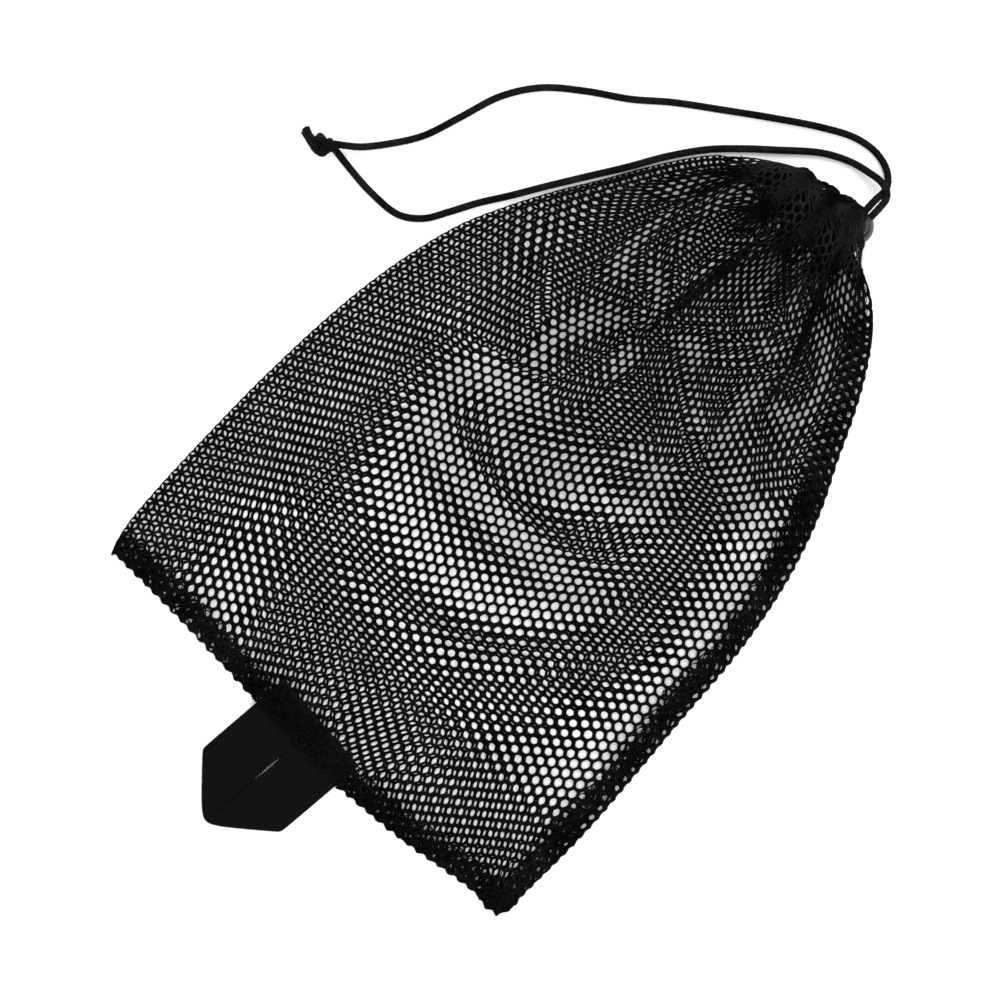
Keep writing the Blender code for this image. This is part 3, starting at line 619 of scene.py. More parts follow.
def braided(name, line, radius, mat, around=30, cap=(True, True), flare=0.0):
    """Round braid: strands cross over and under each other along the line."""
    n = len(line)
    _, a, b = frames(line)
    s = np.concatenate([[0], np.cumsum(np.linalg.norm(np.diff(line, axis=0), axis=1))])
    th = np.arange(around) / around * 2 * math.pi
    S, T = np.meshgrid(s, th, indexing="ij")
    k = 2 * math.pi / 2.3  # along the cord, mm for each strand to come round
    m = 6  # strands each way
    one = np.cos(m * T / 2 + k * S / 2)
    two = np.cos(m * T / 2 - k * S / 2)
    over = np.sin(k * S) * np.sin(m * T)
    h = np.where(over > 0, np.abs(one), np.abs(two))
    R = radius * (0.89 + 0.14 * np.sqrt(h + 0.02))
    if flare:
        R = R * (1 + flare * np.exp(-(s[-1] - S) / 1.2))
    P = line[:, None, :] + R[..., None] * (np.cos(T)[..., None] * a[:, None] + np.sin(T)[..., None] * b[:, None])
    verts = P.reshape(-1, 3)
    uv = np.stack([T / (2 * math.pi), S / (2 * math.pi * radius)], 2).reshape(-1, 2)
    i, j = np.meshgrid(np.arange(n - 1), np.arange(around), indexing="ij")
    jn = (j + 1) % around
    quads = np.stack([i * around + j, i * around + jn, (i + 1) * around + jn, (i + 1) * around + j], 2).reshape(-1, 4)
    extra_v, extra_uv, tris = [], [], []
    for end, on in ((0, cap[0]), (n - 1, cap[1])):
        if not on:
            continue
        c = len(verts) + len(extra_v)
        t = line[end] - line[end + (1 if end == 0 else -1)]
        t /= np.linalg.norm(t)
        # a softly rounded, cut end
        ringi = []
        for q in range(around):
            pnt = line[end] + (P[end, q] - line[end]) * 0.72 + t * radius * 0.22
            ringi.append(c + q)
            extra_v.append(pnt)
            extra_uv.append((q / around, 0))
        extra_v.append(line[end] + t * radius * 0.26)
        extra_uv.append((0.5, 0))
        mid = c + around
        for q in range(around):
            qn = (q + 1) % around
            o1, o2 = end * around + q, end * around + qn
            f = [(o1, o2, ringi[qn]), (o1, ringi[qn], ringi[q]), (ringi[q], ringi[qn], mid)]
            tris += [x if end else x[::-1] for x in f]
    if extra_v:
        verts = np.concatenate([verts, extra_v])
        uv = np.concatenate([uv, extra_uv])
    return mesh_object(name, verts, [quads, np.array(tris, np.int32).reshape(-1, 3)], mat, uv)


def thin_tube(name, lines, radius, mat, around=6):
    """One mesh of plain tubes, for sewing thread and wire."""
    V, F, U = [], [], []
    base = 0
    th = np.arange(around) / around * 2 * math.pi
    for line in lines:
        n = len(line)
        _, a, b = frames(line)
        P = line[:, None, :] + radius * (np.cos(th)[None, :, None] * a[:, None] + np.sin(th)[None, :, None] * b[:, None])
        V += [P.reshape(-1, 3), line[:1], line[-1:]]
        i, j = np.meshgrid(np.arange(n - 1), np.arange(around), indexing="ij")
        jn = (j + 1) % around
        q = np.stack([i * around + j, i * around + jn, (i + 1) * around + jn, (i + 1) * around + j], 2).reshape(-1, 4) + base
        F.append(q)
        c0, c1 = base + n * around, base + n * around + 1
        jj = np.arange(around)
        jn = (jj + 1) % around
        U.append(np.stack([base + jn, base + jj, np.full(around, c0)], 1))
        U.append(np.stack([base + (n - 1) * around + jj, base + (n - 1) * around + jn, np.full(around, c1)], 1))
        base += n * around + 2
    return mesh_object(name, np.concatenate(V), [np.concatenate(F), np.concatenate(U)], mat)


# ------------------------------------------------------------------- materials
def node(tree, kind, at=(0, 0), **values):
    n = tree.nodes.new(kind)
    n.location = at
    for key, value in values.items():
        if key.startswith("in_"):
            n.inputs[key[3:].replace("_", " ")].default_value = value
        else:
            setattr(n, key, value)
    return n


def material(name):
    mat = bpy.data.materials.new(name)
    mat.use_nodes = True
    tree = mat.node_tree
    return mat, tree, tree.nodes["Principled BSDF"]


def ramp(tree, source, stops):
    r = node(tree, "ShaderNodeValToRGB")
    el = r.color_ramp.elements
    while len(el) < len(stops):
        el.new(0.5)
    for e, (p, c) in zip(el, stops):
        e.position = p
        e.color = (*c, 1.0)
    tree.links.new(source, r.inputs[0])
    return r


def yarn_material(name, dark, light, rough, sheen, filament, depth, uv_scale=None):
    """Black polyester yarn: colour drift, painted glints of light, filaments and small knit loops."""
    mat, tree, bsdf = material(name)
    link = tree.links.new
    coord = node(tree, "ShaderNodeTexCoord")
    drift = node(tree, "ShaderNodeTexNoise", in_Scale=55.0, in_Detail=3.0)
    link(coord.outputs["Object"], drift.inputs["Vector"])
    # fine noise times the drift paints small glints of light on the yarn: painted highlights, not the yarn's own colour
    glint_and_tone_noise = node(tree, "ShaderNodeTexNoise", in_Scale=850.0, in_Detail=3.0, in_Roughness=0.65)
    link(coord.outputs["Object"], glint_and_tone_noise.inputs["Vector"])
    both = node(tree, "ShaderNodeMath", operation="MULTIPLY")
    link(drift.outputs["Fac"], both.inputs[0])
    link(glint_and_tone_noise.outputs["Fac"], both.inputs[1])
    # the light end of this ramp is the painted glint
    colour = ramp(tree, both.outputs["Value"], ((0.15, dark), (0.42, light)))
    link(colour.outputs["Color"], bsdf.inputs["Base Color"])
    fibre = node(tree, "ShaderNodeTexNoise", in_Scale=filament, in_Detail=4.0, in_Roughness=0.7)
    stretch = node(tree, "ShaderNodeMapping", in_Scale=(1.0, 0.35, 1.0))
    link(coord.outputs["Object"], stretch.inputs["Vector"])
    link(stretch.outputs["Vector"], fibre.inputs["Vector"])
    rough_ramp = ramp(tree, fibre.outputs["Fac"], ((0.25, (rough - 0.1,) * 3), (0.75, (rough + 0.12,) * 3)))
    link(rough_ramp.outputs["Color"], bsdf.inputs["Roughness"])
    height = fibre.outputs["Fac"]
    if uv_scale:
        uv = node(tree, "ShaderNodeUVMap", uv_map="cloth")
        knit = node(tree, "ShaderNodeTexVoronoi", in_Scale=uv_scale)
        link(uv.outputs["UV"], knit.inputs["Vector"])
        add = node(tree, "ShaderNodeMath", operation="MULTIPLY_ADD")
        add.inputs[1].default_value = 0.8
        link(knit.outputs["Distance"], add.inputs[0])
        link(fibre.outputs["Fac"], add.inputs[2])
        height = add.outputs["Value"]
    bump = node(tree, "ShaderNodeBump", in_Strength=0.6, in_Distance=depth)
    link(height, bump.inputs["Height"])
    link(bump.outputs["Normal"], bsdf.inputs["Normal"])
    bsdf.inputs["Sheen Weight"].default_value = sheen
    bsdf.inputs["Sheen Roughness"].default_value = 0.45
    bsdf.inputs["Sheen Tint"].default_value = (0.55, 0.56, 0.62, 1.0)
    bsdf.inputs["Specular IOR Level"].default_value = 0.02
    return mat


NET = yarn_material("net_yarn", (0.0003, 0.0003, 0.0004), (0.0040, 0.0040, 0.0048), 0.56, 0.004, 5200.0, 0.00006, uv_scale=1.9)
SEAM = yarn_material("seam_yarn", (0.0003, 0.0003, 0.0004), (0.0044, 0.0044, 0.0052), 0.58, 0.004, 5200.0, 0.00006, uv_scale=1.9)
# the outer hem is the same black yarn as the inner layer, painted about three times lighter: painted light on its
# raised lobes, so their rings show against the dark
LIT_HEM_YARN = yarn_material("hem_yarn_painted_lit", (0.0008, 0.0008, 0.0010), (0.0120, 0.0120, 0.0135), 0.54, 0.006, 5200.0, 0.00006, uv_scale=1.9)
THREAD = yarn_material("sewing_thread", (0.0008, 0.0008, 0.0010), (0.0030, 0.0030, 0.0037), 0.50, 0.004, 7000.0, 0.00003)
CORD = yarn_material("braided_cord", (0.0003, 0.0003, 0.0003), (0.0100, 0.0097, 0.0094), 0.58, 0.006, 6000.0, 0.00005)
WEBBING = yarn_material("woven_webbing", (0.0010, 0.0010, 0.0011), (0.0030, 0.0030, 0.0032), 0.62, 0.006, 4200.0, 0.00008)


def paint_rib_shade(mat, per_mm, dark, light):
    """Cross ribs of woven webbing, in colour: painted shade makes the valleys between them blacker, with random tone on
    top.
    """
    tree = mat.node_tree
    bsdf = tree.nodes["Principled BSDF"]
    uv = node(tree, "ShaderNodeUVMap", uv_map="cloth")
    rib = node(tree, "ShaderNodeTexWave", in_Scale=2 * math.pi * per_mm / 20, in_Distortion=1.6, in_Detail=3.0, in_Detail_Scale=2.5)
    tree.links.new(uv.outputs["UV"], rib.inputs["Vector"])
    glint_and_tone_noise = node(tree, "ShaderNodeTexNoise", in_Scale=1.3, in_Detail=4.0, in_Roughness=0.7)
    tree.links.new(uv.outputs["UV"], glint_and_tone_noise.inputs["Vector"])
    both = node(tree, "ShaderNodeMath", operation="MULTIPLY")
    tree.links.new(rib.outputs["Fac"], both.inputs[0])
    tree.links.new(glint_and_tone_noise.outputs["Fac"], both.inputs[1])
    # the dark end of this ramp is painted shade in the rib valleys
    colour = ramp(tree, both.outputs["Value"], ((0.05, dark), (0.55, light)))
    tree.links.new(colour.outputs["Color"], bsdf.inputs["Base Color"])


# ribs 1.10 mm apart, as in the strap's geometry, with painted shade in their valleys
paint_rib_shade(WEBBING, 1 / 1.10, (0.0006, 0.0006, 0.0007), (0.0052, 0.0052, 0.0054))


def plastic_material():
    mat, tree, bsdf = material("lock_plastic")
    link = tree.links.new
    coord = node(tree, "ShaderNodeTexCoord")
    grain = node(tree, "ShaderNodeTexNoise", in_Scale=2600.0, in_Detail=5.0)
    cloud = node(tree, "ShaderNodeTexNoise", in_Scale=140.0, in_Detail=3.0)
    link(coord.outputs["Object"], grain.inputs["Vector"])
    link(coord.outputs["Object"], cloud.inputs["Vector"])
    colour = ramp(tree, cloud.outputs["Fac"], ((0.3, (0.011, 0.0105, 0.013)), (0.7, (0.018, 0.017, 0.021))))
    link(colour.outputs["Color"], bsdf.inputs["Base Color"])
    rough = ramp(tree, cloud.outputs["Fac"], ((0.3, (0.36,) * 3), (0.7, (0.48,) * 3)))
    link(rough.outputs["Color"], bsdf.inputs["Roughness"])
    bump = node(tree, "ShaderNodeBump", in_Strength=0.35, in_Distance=0.00004)
    link(grain.outputs["Fac"], bump.inputs["Height"])
    link(bump.outputs["Normal"], bsdf.inputs["Normal"])
    bsdf.inputs["Specular IOR Level"].default_value = 0.3
    return mat


def steel_material():
    mat, tree, bsdf = material("spring_wire")
    link = tree.links.new
    coord = node(tree, "ShaderNodeTexCoord")
    drawn = node(tree, "ShaderNodeTexNoise", in_Scale=1800.0, in_Detail=4.0)
    link(coord.outputs["Object"], drawn.inputs["Vector"])
    colour = ramp(tree, drawn.outputs["Fac"], ((0.3, (0.42, 0.42, 0.43)), (0.7, (0.60, 0.60, 0.61))))
    rough = ramp(tree, drawn.outputs["Fac"], ((0.3, (0.22,) * 3), (0.7, (0.38,) * 3)))
    link(colour.outputs["Color"], bsdf.inputs["Base Color"])
    link(rough.outputs["Color"], bsdf.inputs["Roughness"])
    bsdf.inputs["Metallic"].default_value = 1.0
    return mat


PLASTIC = plastic_material()
STEEL = steel_material()

# ---------------------------------------------------------------------- camera
camera_data = bpy.data.cameras.new("camera")
camera = bpy.data.objects.new("camera", camera_data)
bpy.context.scene.collection.objects.link(camera)
AIM = world([(-6.2, 132.0, 6.0)])[0]
DISTANCE = 2.1
camera.location = (AIM[0], AIM[1], DISTANCE)
camera.rotation_euler = (0.0, 0.0, math.radians(43.2))
camera_data.sensor_width = 36.0
camera_data.lens = 36.0 * (DISTANCE - 0.005) / 0.4348
camera_data.clip_start = 0.05
camera_data.clip_end = 20.0
bpy.context.scene.camera = camera

# ----------------------------------------------------------------------- cords
LOW = 1.65
CORD_R = 1.6
xo, xi, zb = LOCK[0] - 1.8, LOCK[0] + 1.8, 9.5
OUTER = (
    (xo, 315.8, zb), (xo, 323.0, zb), (xo, 331.0, zb), (xo, 338.6, zb), (xo + 0.3, 342.0, 7.9), (xo + 0.2, 345.4, 4.9),
    (21.6, 349.2, 2.4), (17.0, 352.6, LOW), (9.2, 354.4, LOW), (-1.5, 352.8, LOW), (-14.9, 346.3, LOW),
    (-34.7, 333.8, LOW), (-51.1, 322.7, LOW), (-70.3, 309.4, LOW), (-84.2, 298.2, LOW), (-100.8, 287.4, LOW),
    (-116.1, 275.1, LOW), (-126.4, 260.2, LOW), (-133.0, 241.4, LOW), (-139.2, 224.6, LOW), (-148.4, 211.0, LOW),
    (-155.6, 202.6, 2.1), (-160.4, 198.6, 4.4), (-163.9, 196.0, 6.3),
)
INNER = (
    (xi, 315.8, zb), (xi, 323.0, zb), (xi, 331.0, zb), (xi, 338.6, zb), (xi - 0.4, 341.6, 9.9), (24.6, 344.3, 10.2),
    (20.4, 345.9, 8.6), (13.0, 345.6, 4.4), (4.5, 343.9, LOW + 0.2), (-7.0, 338.4, LOW), (-23.4, 325.0, LOW),
    (-34.2, 315.6, LOW), (-45.0, 304.9, LOW), (-55.9, 290.4, LOW), (-64.8, 276.0, LOW), (-75.0, 260.6, LOW),
    (-85.0, 245.4, LOW), (-93.6, 231.8, LOW), (-101.8, 219.6, LOW), (-108.4, 208.0, LOW), (-114.4, 198.6, LOW),
    (-123.5, 192.3, LOW), (-139.6, 191.2, LOW), (-153.4, 192.6, LOW), (-159.4, 193.5, 1.8), (-163.1, 194.1, 2.5),
)
CHANNEL = (
    (xo, 314.8, zb), (xo, 313.6, zb + 0.1), (xo - 1.6, 311.8, zb + 2.6), (19.0, 311.6, 15.6), (10.5, 312.4, 19.8),
    (1.0, 313.4, 20.8), (-8.0, 314.6, 19.0), (-14.0, 315.4, 14.6), (-14.3, 315.2, 9.6), (-8.0, 314.2, 5.2),
    (1.0, 313.0, 3.8), (10.5, 311.6, 3.8), (19.5, 310.6, 5.4), (25.4, 310.8, 7.2), (xi, 313.4, zb - 0.3),
    (xi, 314.8, zb),
)
KNOT = (-168.3, 191.6, 5.05)

outer_line, outer_len = spline(OUTER, 0.26)
inner_line, inner_len = spline(INNER, 0.26)
channel_line, channel_len = spline(CHANNEL, 0.5)
cord_outer = braided("drawcord_outer", outer_line, CORD_R, CORD)
cord_inner = braided("drawcord_inner", inner_line, CORD_R, CORD)
cord_channel = braided("drawcord_in_hem", channel_line, CORD_R, CORD, around=16)
for piece, cad in ((cord_outer, "drawcord_outer_run"), (cord_inner, "drawcord_inner_run"), (cord_channel, "drawcord_channel")):
    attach(piece, "bag")
    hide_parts(cad)

# The knot: an overhand knot, pulled tight, in both runs at once.
kx, ky, kz = KNOT
t = np.linspace(0, 2 * math.pi, 150)
lobes = np.stack([-3.1 * np.sin(3 * t), np.cos(t) - 2 * np.cos(2 * t), np.sin(t) + 2 * np.sin(2 * t)], 1)
lobes *= [1.0, 1.08, 1.02]
knot_line, _ = resample(lobes + [kx - 0.2, ky, kz], 150, False)
core_line, _ = spline(
    ((kx + 4.9, ky + 3.6, kz + 0.9), (kx + 2.2, ky + 1.4, kz + 0.6), (kx - 0.6, ky - 0.2, kz + 0.6), (kx - 3.6, ky - 0.4, kz + 0.4)), 0.3
)
knot_a = braided("cord_knot_turns", knot_line, 1.68, CORD, around=20, cap=(False, False))
knot_b = braided("cord_knot_core", core_line, 2.6, CORD, around=20)
wrap = np.stack([kx + 1.0 + 0.9 * np.sin(t + 0.6), ky + 0.3 + 3.15 * np.cos(t), kz + 0.1 + 2.9 * np.sin(t)], 1)
knot_c = braided("cord_knot_wrap", resample(wrap, 90, False)[0], 1.6, CORD, around=20, cap=(False, False))
tail_1_line, _ = spline(((-169.8, 188.9, 4.0), (-172.4, 189.1, 3.2), (-175.4, 190.0, 2.2), (-178.2, 190.9, 1.85)), 0.3)
tail_2_line, _ = spline(((-170.0, 190.1, 6.4), (-172.6, 190.2, 6.6), (-175.6, 191.0, 6.0), (-178.3, 191.9, 5.0)), 0.3)
tail_1 = braided("cord_tail_lower", tail_1_line, 1.6, CORD, around=24, flare=0.22)
tail_2 = braided("cord_tail_upper", tail_2_line, 1.6, CORD, around=24, flare=0.22)
for piece, cad in ((knot_a, "cord_knot"), (knot_b, "cord_knot"), (knot_c, "cord_knot"), (tail_1, "cord_tail_1"), (tail_2, "cord_tail_2")):
    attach(piece, "bag")
    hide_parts(cad)

# ------------------------------------------------------------------- the net
cloth, hem, first_hem_row = relax(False)
cloth = drape(cloth)

Q = WIDE / 60  # spacing of the net's columns
PV = TALL / 67  # its repeat along a column
HEX = ((4, 0), (3, 1), (2, 2), (0, 2), (-2, 2), (-3, 1), (-4, 0), (-3, -1), (-2, -2), (0, -2), (2, -2), (3, -1))
HOLE = (1.78, 1.74, 2.04, 2.01, 2.04, 1.74, 1.78, 1.74, 2.04, 2.01, 2.04, 1.74)
YARN = 0.61  # mm, half the width of the strands between holes


U_SHIFT = 0.71  # the columns start this far from the left fold
SKEW = -0.0024  # the net's rows run a little aslant to the seam
FOLD_SHIFT = 0.57  # and this much more near the fold, so three holes share each opening
FADE = 84.0  # where that start has run out
CORNER_SHIFT, CORNER_SLIP, UPPER_SLIP = 0.96, 0.80, -1.40  # mm, how far the layers slip apart, each way
CRUMPLE = 0.76  # how far the cut edges inside the seams are pushed together
CENTRE = np.array([3.0, 0.0, 12.6])  # middle of the mouth


def hem_inside():
    """The hem's inner layer: inside the cord, drawn towards the mouth's middle."""
    grid = cloth.copy()
    v = np.arange(ROWS) * DV
    push = np.sin(math.pi * np.clip((v - HEM_ROW) / (TALL - HEM_ROW), 0, 1))
    for j in range(first_hem_row - 1, ROWS):
        g = grid[:, j].copy()
        to = np.stack([CENTRE[0] - g[:, 0], np.zeros(AROUND), CENTRE[2] - g[:, 2]], 1)
        d = np.linalg.norm(to, axis=1)[:, None]
        grid[:, j] = g + to / (d + 1e-9) * np.minimum(0.78 * d, 0.9 + 6.6 * push[j])
    grid[:, :, 2] = np.maximum(grid[:, :, 2], 0.6)
    return grid


inside = hem_inside()


def place(u, v):
    """Where the net lies. u runs from the left fold, front ahead and back
    behind; past the side seam, below the bottom seam and past the mouth's
    folded edge it is turned in."""
    corner = ease(50.0, 85.0, np.abs(u)) * (1 - ease(28.0, 66.0, v)) * (1 - ease(0.0, 6.0, np.abs(u) - WIDE))
    u = u + U_SHIFT * (1 - ease(12.0, FADE, np.abs(u))) + FOLD_SHIFT * (1 - ease(14.0, 50.0, np.abs(u))) + CORNER_SHIFT * corner
    v = v + CORNER_SLIP * np.sign(u) * corner
    v = v + (SKEW * u + UPPER_SLIP * np.sign(u) * ease(0, 50, np.abs(u)) * ease(170.0, 260.0, v)) * (1 - ease(290.0, 326.0, v))
    beyond, under = np.maximum(np.abs(u) - WIDE, 0.0), np.maximum(-v, 0.0)
    lap_u, lap_v = ease(0.6, 4.5, beyond), ease(0.6, 4.5, under)
    # the turned-in edges are crumpled up and lie out of step with the panels
    u2 = np.where(beyond > 0, np.sign(u) * (WIDE - (CRUMPLE + 0.24 * ease(170.0, 260.0, v)) * beyond), u)
    v2 = np.where(under > 0, CRUMPLE * under, v)
    u2 = u2 + (0.8 * np.sin(v / 6.1) + 0.5 * np.sin(v / 2.3)) * (1 - 0.55 * ease(170.0, 260.0, v)) * lap_u + (1.9 + 0.7 * np.sin(u / 9.7)) * lap_v
    v2 = np.abs(v2 + (0.7 * np.sin(u / 5.3) + 0.4 * np.sin(u / 2.1)) * lap_v + (1.1 + 0.7 * np.sin(v / 11.3)) * (1 - 0.6 * ease(170.0, 260.0, v)) * lap_u)
    depth = np.maximum(ease(0.0, 1.8, beyond), ease(0.0, 1.8, under)) * 0.8
    depth += 0.3 * (lap_u * np.sin(v / 3.7) + lap_v * np.sin(u / 3.1))
    pos, nrm = surface(cloth, u2, np.minimum(v2, TALL))
    turned = v2 > TALL
    if turned.any():
        p2, n2 = surface(inside, u2[turned], 2 * TALL - v2[turned])
        pos[turned], nrm[turned] = p2, -n2
    pos = pos - nrm * depth[:, None]
    # the folds at the seams run from loop to loop, so their edges are scalloped
    pos[:, 1] -= 0.55 * np.cos(2 * math.pi * u / 5.6 + 1.5 * np.sin(u / 31.0)) * np.exp(-((v2 / 3.2) ** 2))
    side = np.where(np.abs(u2) > WIDE - 12, WIDE - np.abs(u2), 99.0)
    pos[:, 0] += 0.40 * np.cos(2 * math.pi * v / 5.1 + 1.5 * np.sin(v / 27.0)) * np.exp(-((side / 3.0) ** 2)) * (v2 < 300)
    # blunt corners at the bottom
    side = np.maximum(side, 0.0)
    pos[:, 0] += 1.8 * np.exp(-((np.abs(u) + v2) / 4.5))
    pos[:, 0] += 1.5 * np.exp(-(((v2 - 7.0) / 5.0) ** 2) - side / 6.0) - 1.2 * np.exp(-((side + v2) / 4.0))
    pos[:, 1] -= 1.7 * np.exp(-(((side - 7.0) / 5.0) ** 2) - v2 / 6.0)
    pos[:, 2] = np.maximum(pos[:, 2], 0.42)
    return pos, nrm


def cells(k0, k1, v0, v1):
    """Cell centres of columns k0..k1 whose middles lie between v0 and v1."""
    k, m = np.meshgrid(np.arange(k0, k1), np.arange(-4, 76), indexing="ij")
    ku = 6 * k
    kv = 4 * m + 2 + 2 * (k % 2)
    v = kv * PV / 4
    ok = (v > v0) & (v <= v1)
    return ku[ok], kv[ok]


MIDDLE = 163.0
LAST = HEM_ROW + 1.5
ALLOWANCE = 14.5
HX = np.array(HEX)


def cell_keys(ku, kv):
    return (ku[:, None] + HX[None, :, 0] + 5000).astype(np.int64) * 100000 + (kv[:, None] + HX[None, :, 1] + 5000)


def free_corners():
    """Corners on the cut edges of the whole net."""
    ku, kv = [np.concatenate(x) for x in zip(cells(-64, 64, -ALLOWANCE, LAST), cells(-61, 61, LAST, 2 * TALL - HEM_ROW))]
    key = cell_keys(ku, kv)
    ids, inv = np.unique(key.ravel(), return_inverse=True)
    inv = inv.reshape(key.shape)
    pair = np.stack([inv, np.roll(inv, -1, 1)], 2).reshape(-1, 2)
    pair.sort(axis=1)
    e, c = np.unique(pair[:, 0].astype(np.int64) * len(ids) + pair[:, 1], return_counts=True)
    lone = e[c == 1]
    return ids[np.unique(np.concatenate([lone // len(ids), lone % len(ids)]))]


FREE = free_corners()


def net(name, groups, cad, mat, half=0.30, jitter=0.035):
    """Knitted net over groups of cells: a rounded yarn between the holes."""
    ku, kv = [np.concatenate(x) for x in zip(*groups)]
    n = len(ku)
    key = cell_keys(ku, kv)
    uniq, first, inv = np.unique(key.ravel(), return_index=True, return_inverse=True)
    inv = inv.reshape(n, 12)
    free = np.isin(uniq, FREE)
    bu = (ku[:, None] + HX[None, :, 0]) * Q / 6
    bv = (kv[:, None] + HX[None, :, 1]) * PV / 4
    U, Vv = bu.ravel()[first], bv.ravel()[first]
    cu, cv = ku * Q / 6, kv * PV / 4
    rng = np.random.RandomState(n)
    size = 1 + jitter * rng.uniform(-1, 1, (n, 1))
    ang = np.arctan2(HX[:, 1] * PV / 4, HX[:, 0] * Q / 6)
    r = np.array(HOLE)[None, :] * size
    # the yarn keeps its width where the net is squeezed, so the holes close
    e = 1.4
    across = np.linalg.norm(place(cu + e, cv)[0] - place(cu - e, cv)[0], axis=1) / (2 * e)
    along = np.linalg.norm(place(cu, cv + e)[0] - place(cu, cv - e)[0], axis=1) / (2 * e)
    fu = np.clip((2.34 * across - YARN) / (2.34 - YARN) / np.maximum(across, 0.05), 0.10, 1.03)[:, None]
    fv = np.clip((2.66 * along - YARN) / (2.66 - YARN) / np.maximum(along, 0.05), 0.10, 1.03)[:, None]
    # where it is drawn tight together, the holes close altogether
    shut = np.clip(fu / 0.42, 0.12, 1.0) * np.clip(fv / 0.42, 0.12, 1.0)
    shut = shut * (1 - 0.80 * ease(345.0, 351.0, TALL - np.abs(TALL - cv))[:, None])
    fu, fv = fu * np.sqrt(shut), fv * shut
    hu = cu[:, None] + r * np.cos(ang) * fu
    hv = cv[:, None] + r * np.sin(ang) * fv
    su, sv = hu + 0.36 * (bu - hu), hv + 0.36 * (bv - hv)
    vu = np.concatenate([U, hu.ravel(), su.ravel()])
    vv = np.concatenate([Vv, hv.ravel(), sv.ravel()])
    pos, nrm = place(vu, vv)
    nb = len(U)
    thick = np.where(free, 0.06, half)
    top = pos[:nb] + nrm[:nb] * thick[:, None]
    bot = pos[:nb] - nrm[:nb] * thick[:, None]
    hole = pos[nb : nb + 12 * n]
    shoulder = pos[nb + 12 * n :] + nrm[nb + 12 * n :] * half * 0.82
    co = np.concatenate([top, bot, hole, shoulder])
    co[:, 2] = np.maximum(co[:, 2], 0.05)
    uv = np.stack([np.concatenate([U, U, hu.ravel(), su.ravel()]), np.concatenate([Vv, Vv, hv.ravel(), sv.ravel()])], 1)
    B, H, S = inv, nb * 2 + np.arange(12 * n).reshape(n, 12), nb * 2 + 12 * n + np.arange(12 * n).reshape(n, 12)

    def nx(a):
        return np.roll(a, -1, 1)

    quads = [
        np.stack([S, B, nx(B), nx(S)], 2).reshape(-1, 4),
        np.stack([H, S, nx(S), nx(H)], 2).reshape(-1, 4),
        np.stack([H, nx(H), nx(B) + nb, B + nb], 2).reshape(-1, 4),
    ]
    obj = mesh_object(name, co, np.concatenate(quads), mat, uv)
    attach(obj, "bag")
    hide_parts(cad)
    return obj


front_low = net("net_front_lower", [cells(0, 60, 0, MIDDLE)], "net_front_panel", NET)
front_top = net("net_front_upper", [cells(0, 60, MIDDLE, LAST)], "net_front_panel", NET)
back_low = net("net_back_lower", [cells(-60, 0, 0, MIDDLE)], "net_back_panel", NET)
back_top = net("net_back_upper", [cells(-60, 0, MIDDLE, LAST)], "net_back_panel", NET)
side_lap = net("side_allowance_net", [cells(60, 64, 0, LAST), cells(-64, -60, 0, LAST)], "side_seam_allowance", SEAM)
low_lap = net("bottom_allowance_net", [cells(-64, 64, -ALLOWANCE, 0)], "bottom_seam_allowance", SEAM)
# its lighter yarn is painted light, not a different yarn
hem_out = net("hem_outer_net", [cells(-61, 61, LAST, TALL)], "hem_outer", LIT_HEM_YARN)
hem_in = net("hem_inner_net", [cells(-61, 61, TALL, 2 * TALL - HEM_ROW)], "hem_inner", SEAM)


# -------------------------------------------------------------------- threads
def stitch(path_u, path_v, lift, pitch, swing):
    """Zigzag stitch over a seam line given in cloth millimetres."""
    line = np.stack([path_u, path_v], 1)
    length = np.linalg.norm(np.diff(line, axis=0), axis=1).sum()
    n = max(8, int(length / pitch) * 6)
    pts, _ = resample(line, n, False)
    t = np.gradient(pts, axis=0)
    t /= np.linalg.norm(t, axis=1)[:, None] + 1e-9
    side = np.stack([-t[:, 1], t[:, 0]], 1)
    ph = np.arange(n) / 6.0 * math.pi
    pts = pts + side * (swing * np.clip(1.4 * np.sin(ph), -1, 1))[:, None]
    pos, nrm = surface(cloth, pts[:, 0], pts[:, 1])
    return pos + nrm * (lift + 0.12 * np.cos(2 * ph))[:, None]


def thread(name, lines, cad, radius=0.2):
    obj = thin_tube(name, lines, radius, THREAD)
    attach(obj, "bag")
    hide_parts(cad)
    return obj


vv = np.arange(2.0, 328.0, 2.0)
side_thread = thread(
    "side_seam_stitches",
    [
        stitch(np.full(len(vv), WIDE - 5.0), vv, 0.52, 2.4, 0.5),
        stitch(np.full(len(vv), WIDE + 5.0), vv, 0.52, 2.4, 0.5),
        stitch(np.full(len(vv), WIDE - 8.0), vv, -1.45, 1.5, 3.0),
        stitch(np.full(len(vv), WIDE + 8.0), vv, -1.45, 1.6, 3.0),
    ],
    "side_seam_thread",
)
uu = np.arange(2.0, WIDE - 1.0, 2.0)
bottom_thread = thread(
    "bottom_seam_stitches",
    [
        stitch(uu, np.full(len(uu), 4.6), 0.52, 2.4, 0.5),
        stitch(uu + WIDE, np.full(len(uu), 4.6), 0.52, 2.4, 0.5),
        stitch(uu, np.full(len(uu), 6.6), -1.35, 1.5, 2.8),
        stitch(uu + WIDE, np.full(len(uu), 6.6), -1.35, 1.6, 2.8),
    ],
    "bottom_seam_thread",
)
uu = np.arange(0.0, 2 * WIDE - 1.0, 1.6)
hem_thread = thread("hem_stitches", [stitch(uu, np.full(len(uu), HEM_ROW + 2.0), 0.5, 3.0, 0.7)], "hem_thread")

# -------------------------------------------------------------------- webbing
TILT = math.radians(6.4)
STRAP_X = 2.5
SHOULDER = 35.0
LEG = 12.5
STRAP_HALF = 12.5


def strap_place(x, y):
    s, c = math.sin(TILT), math.cos(TILT)
    return x * c + y * s + STRAP_X, -x * s + y * c


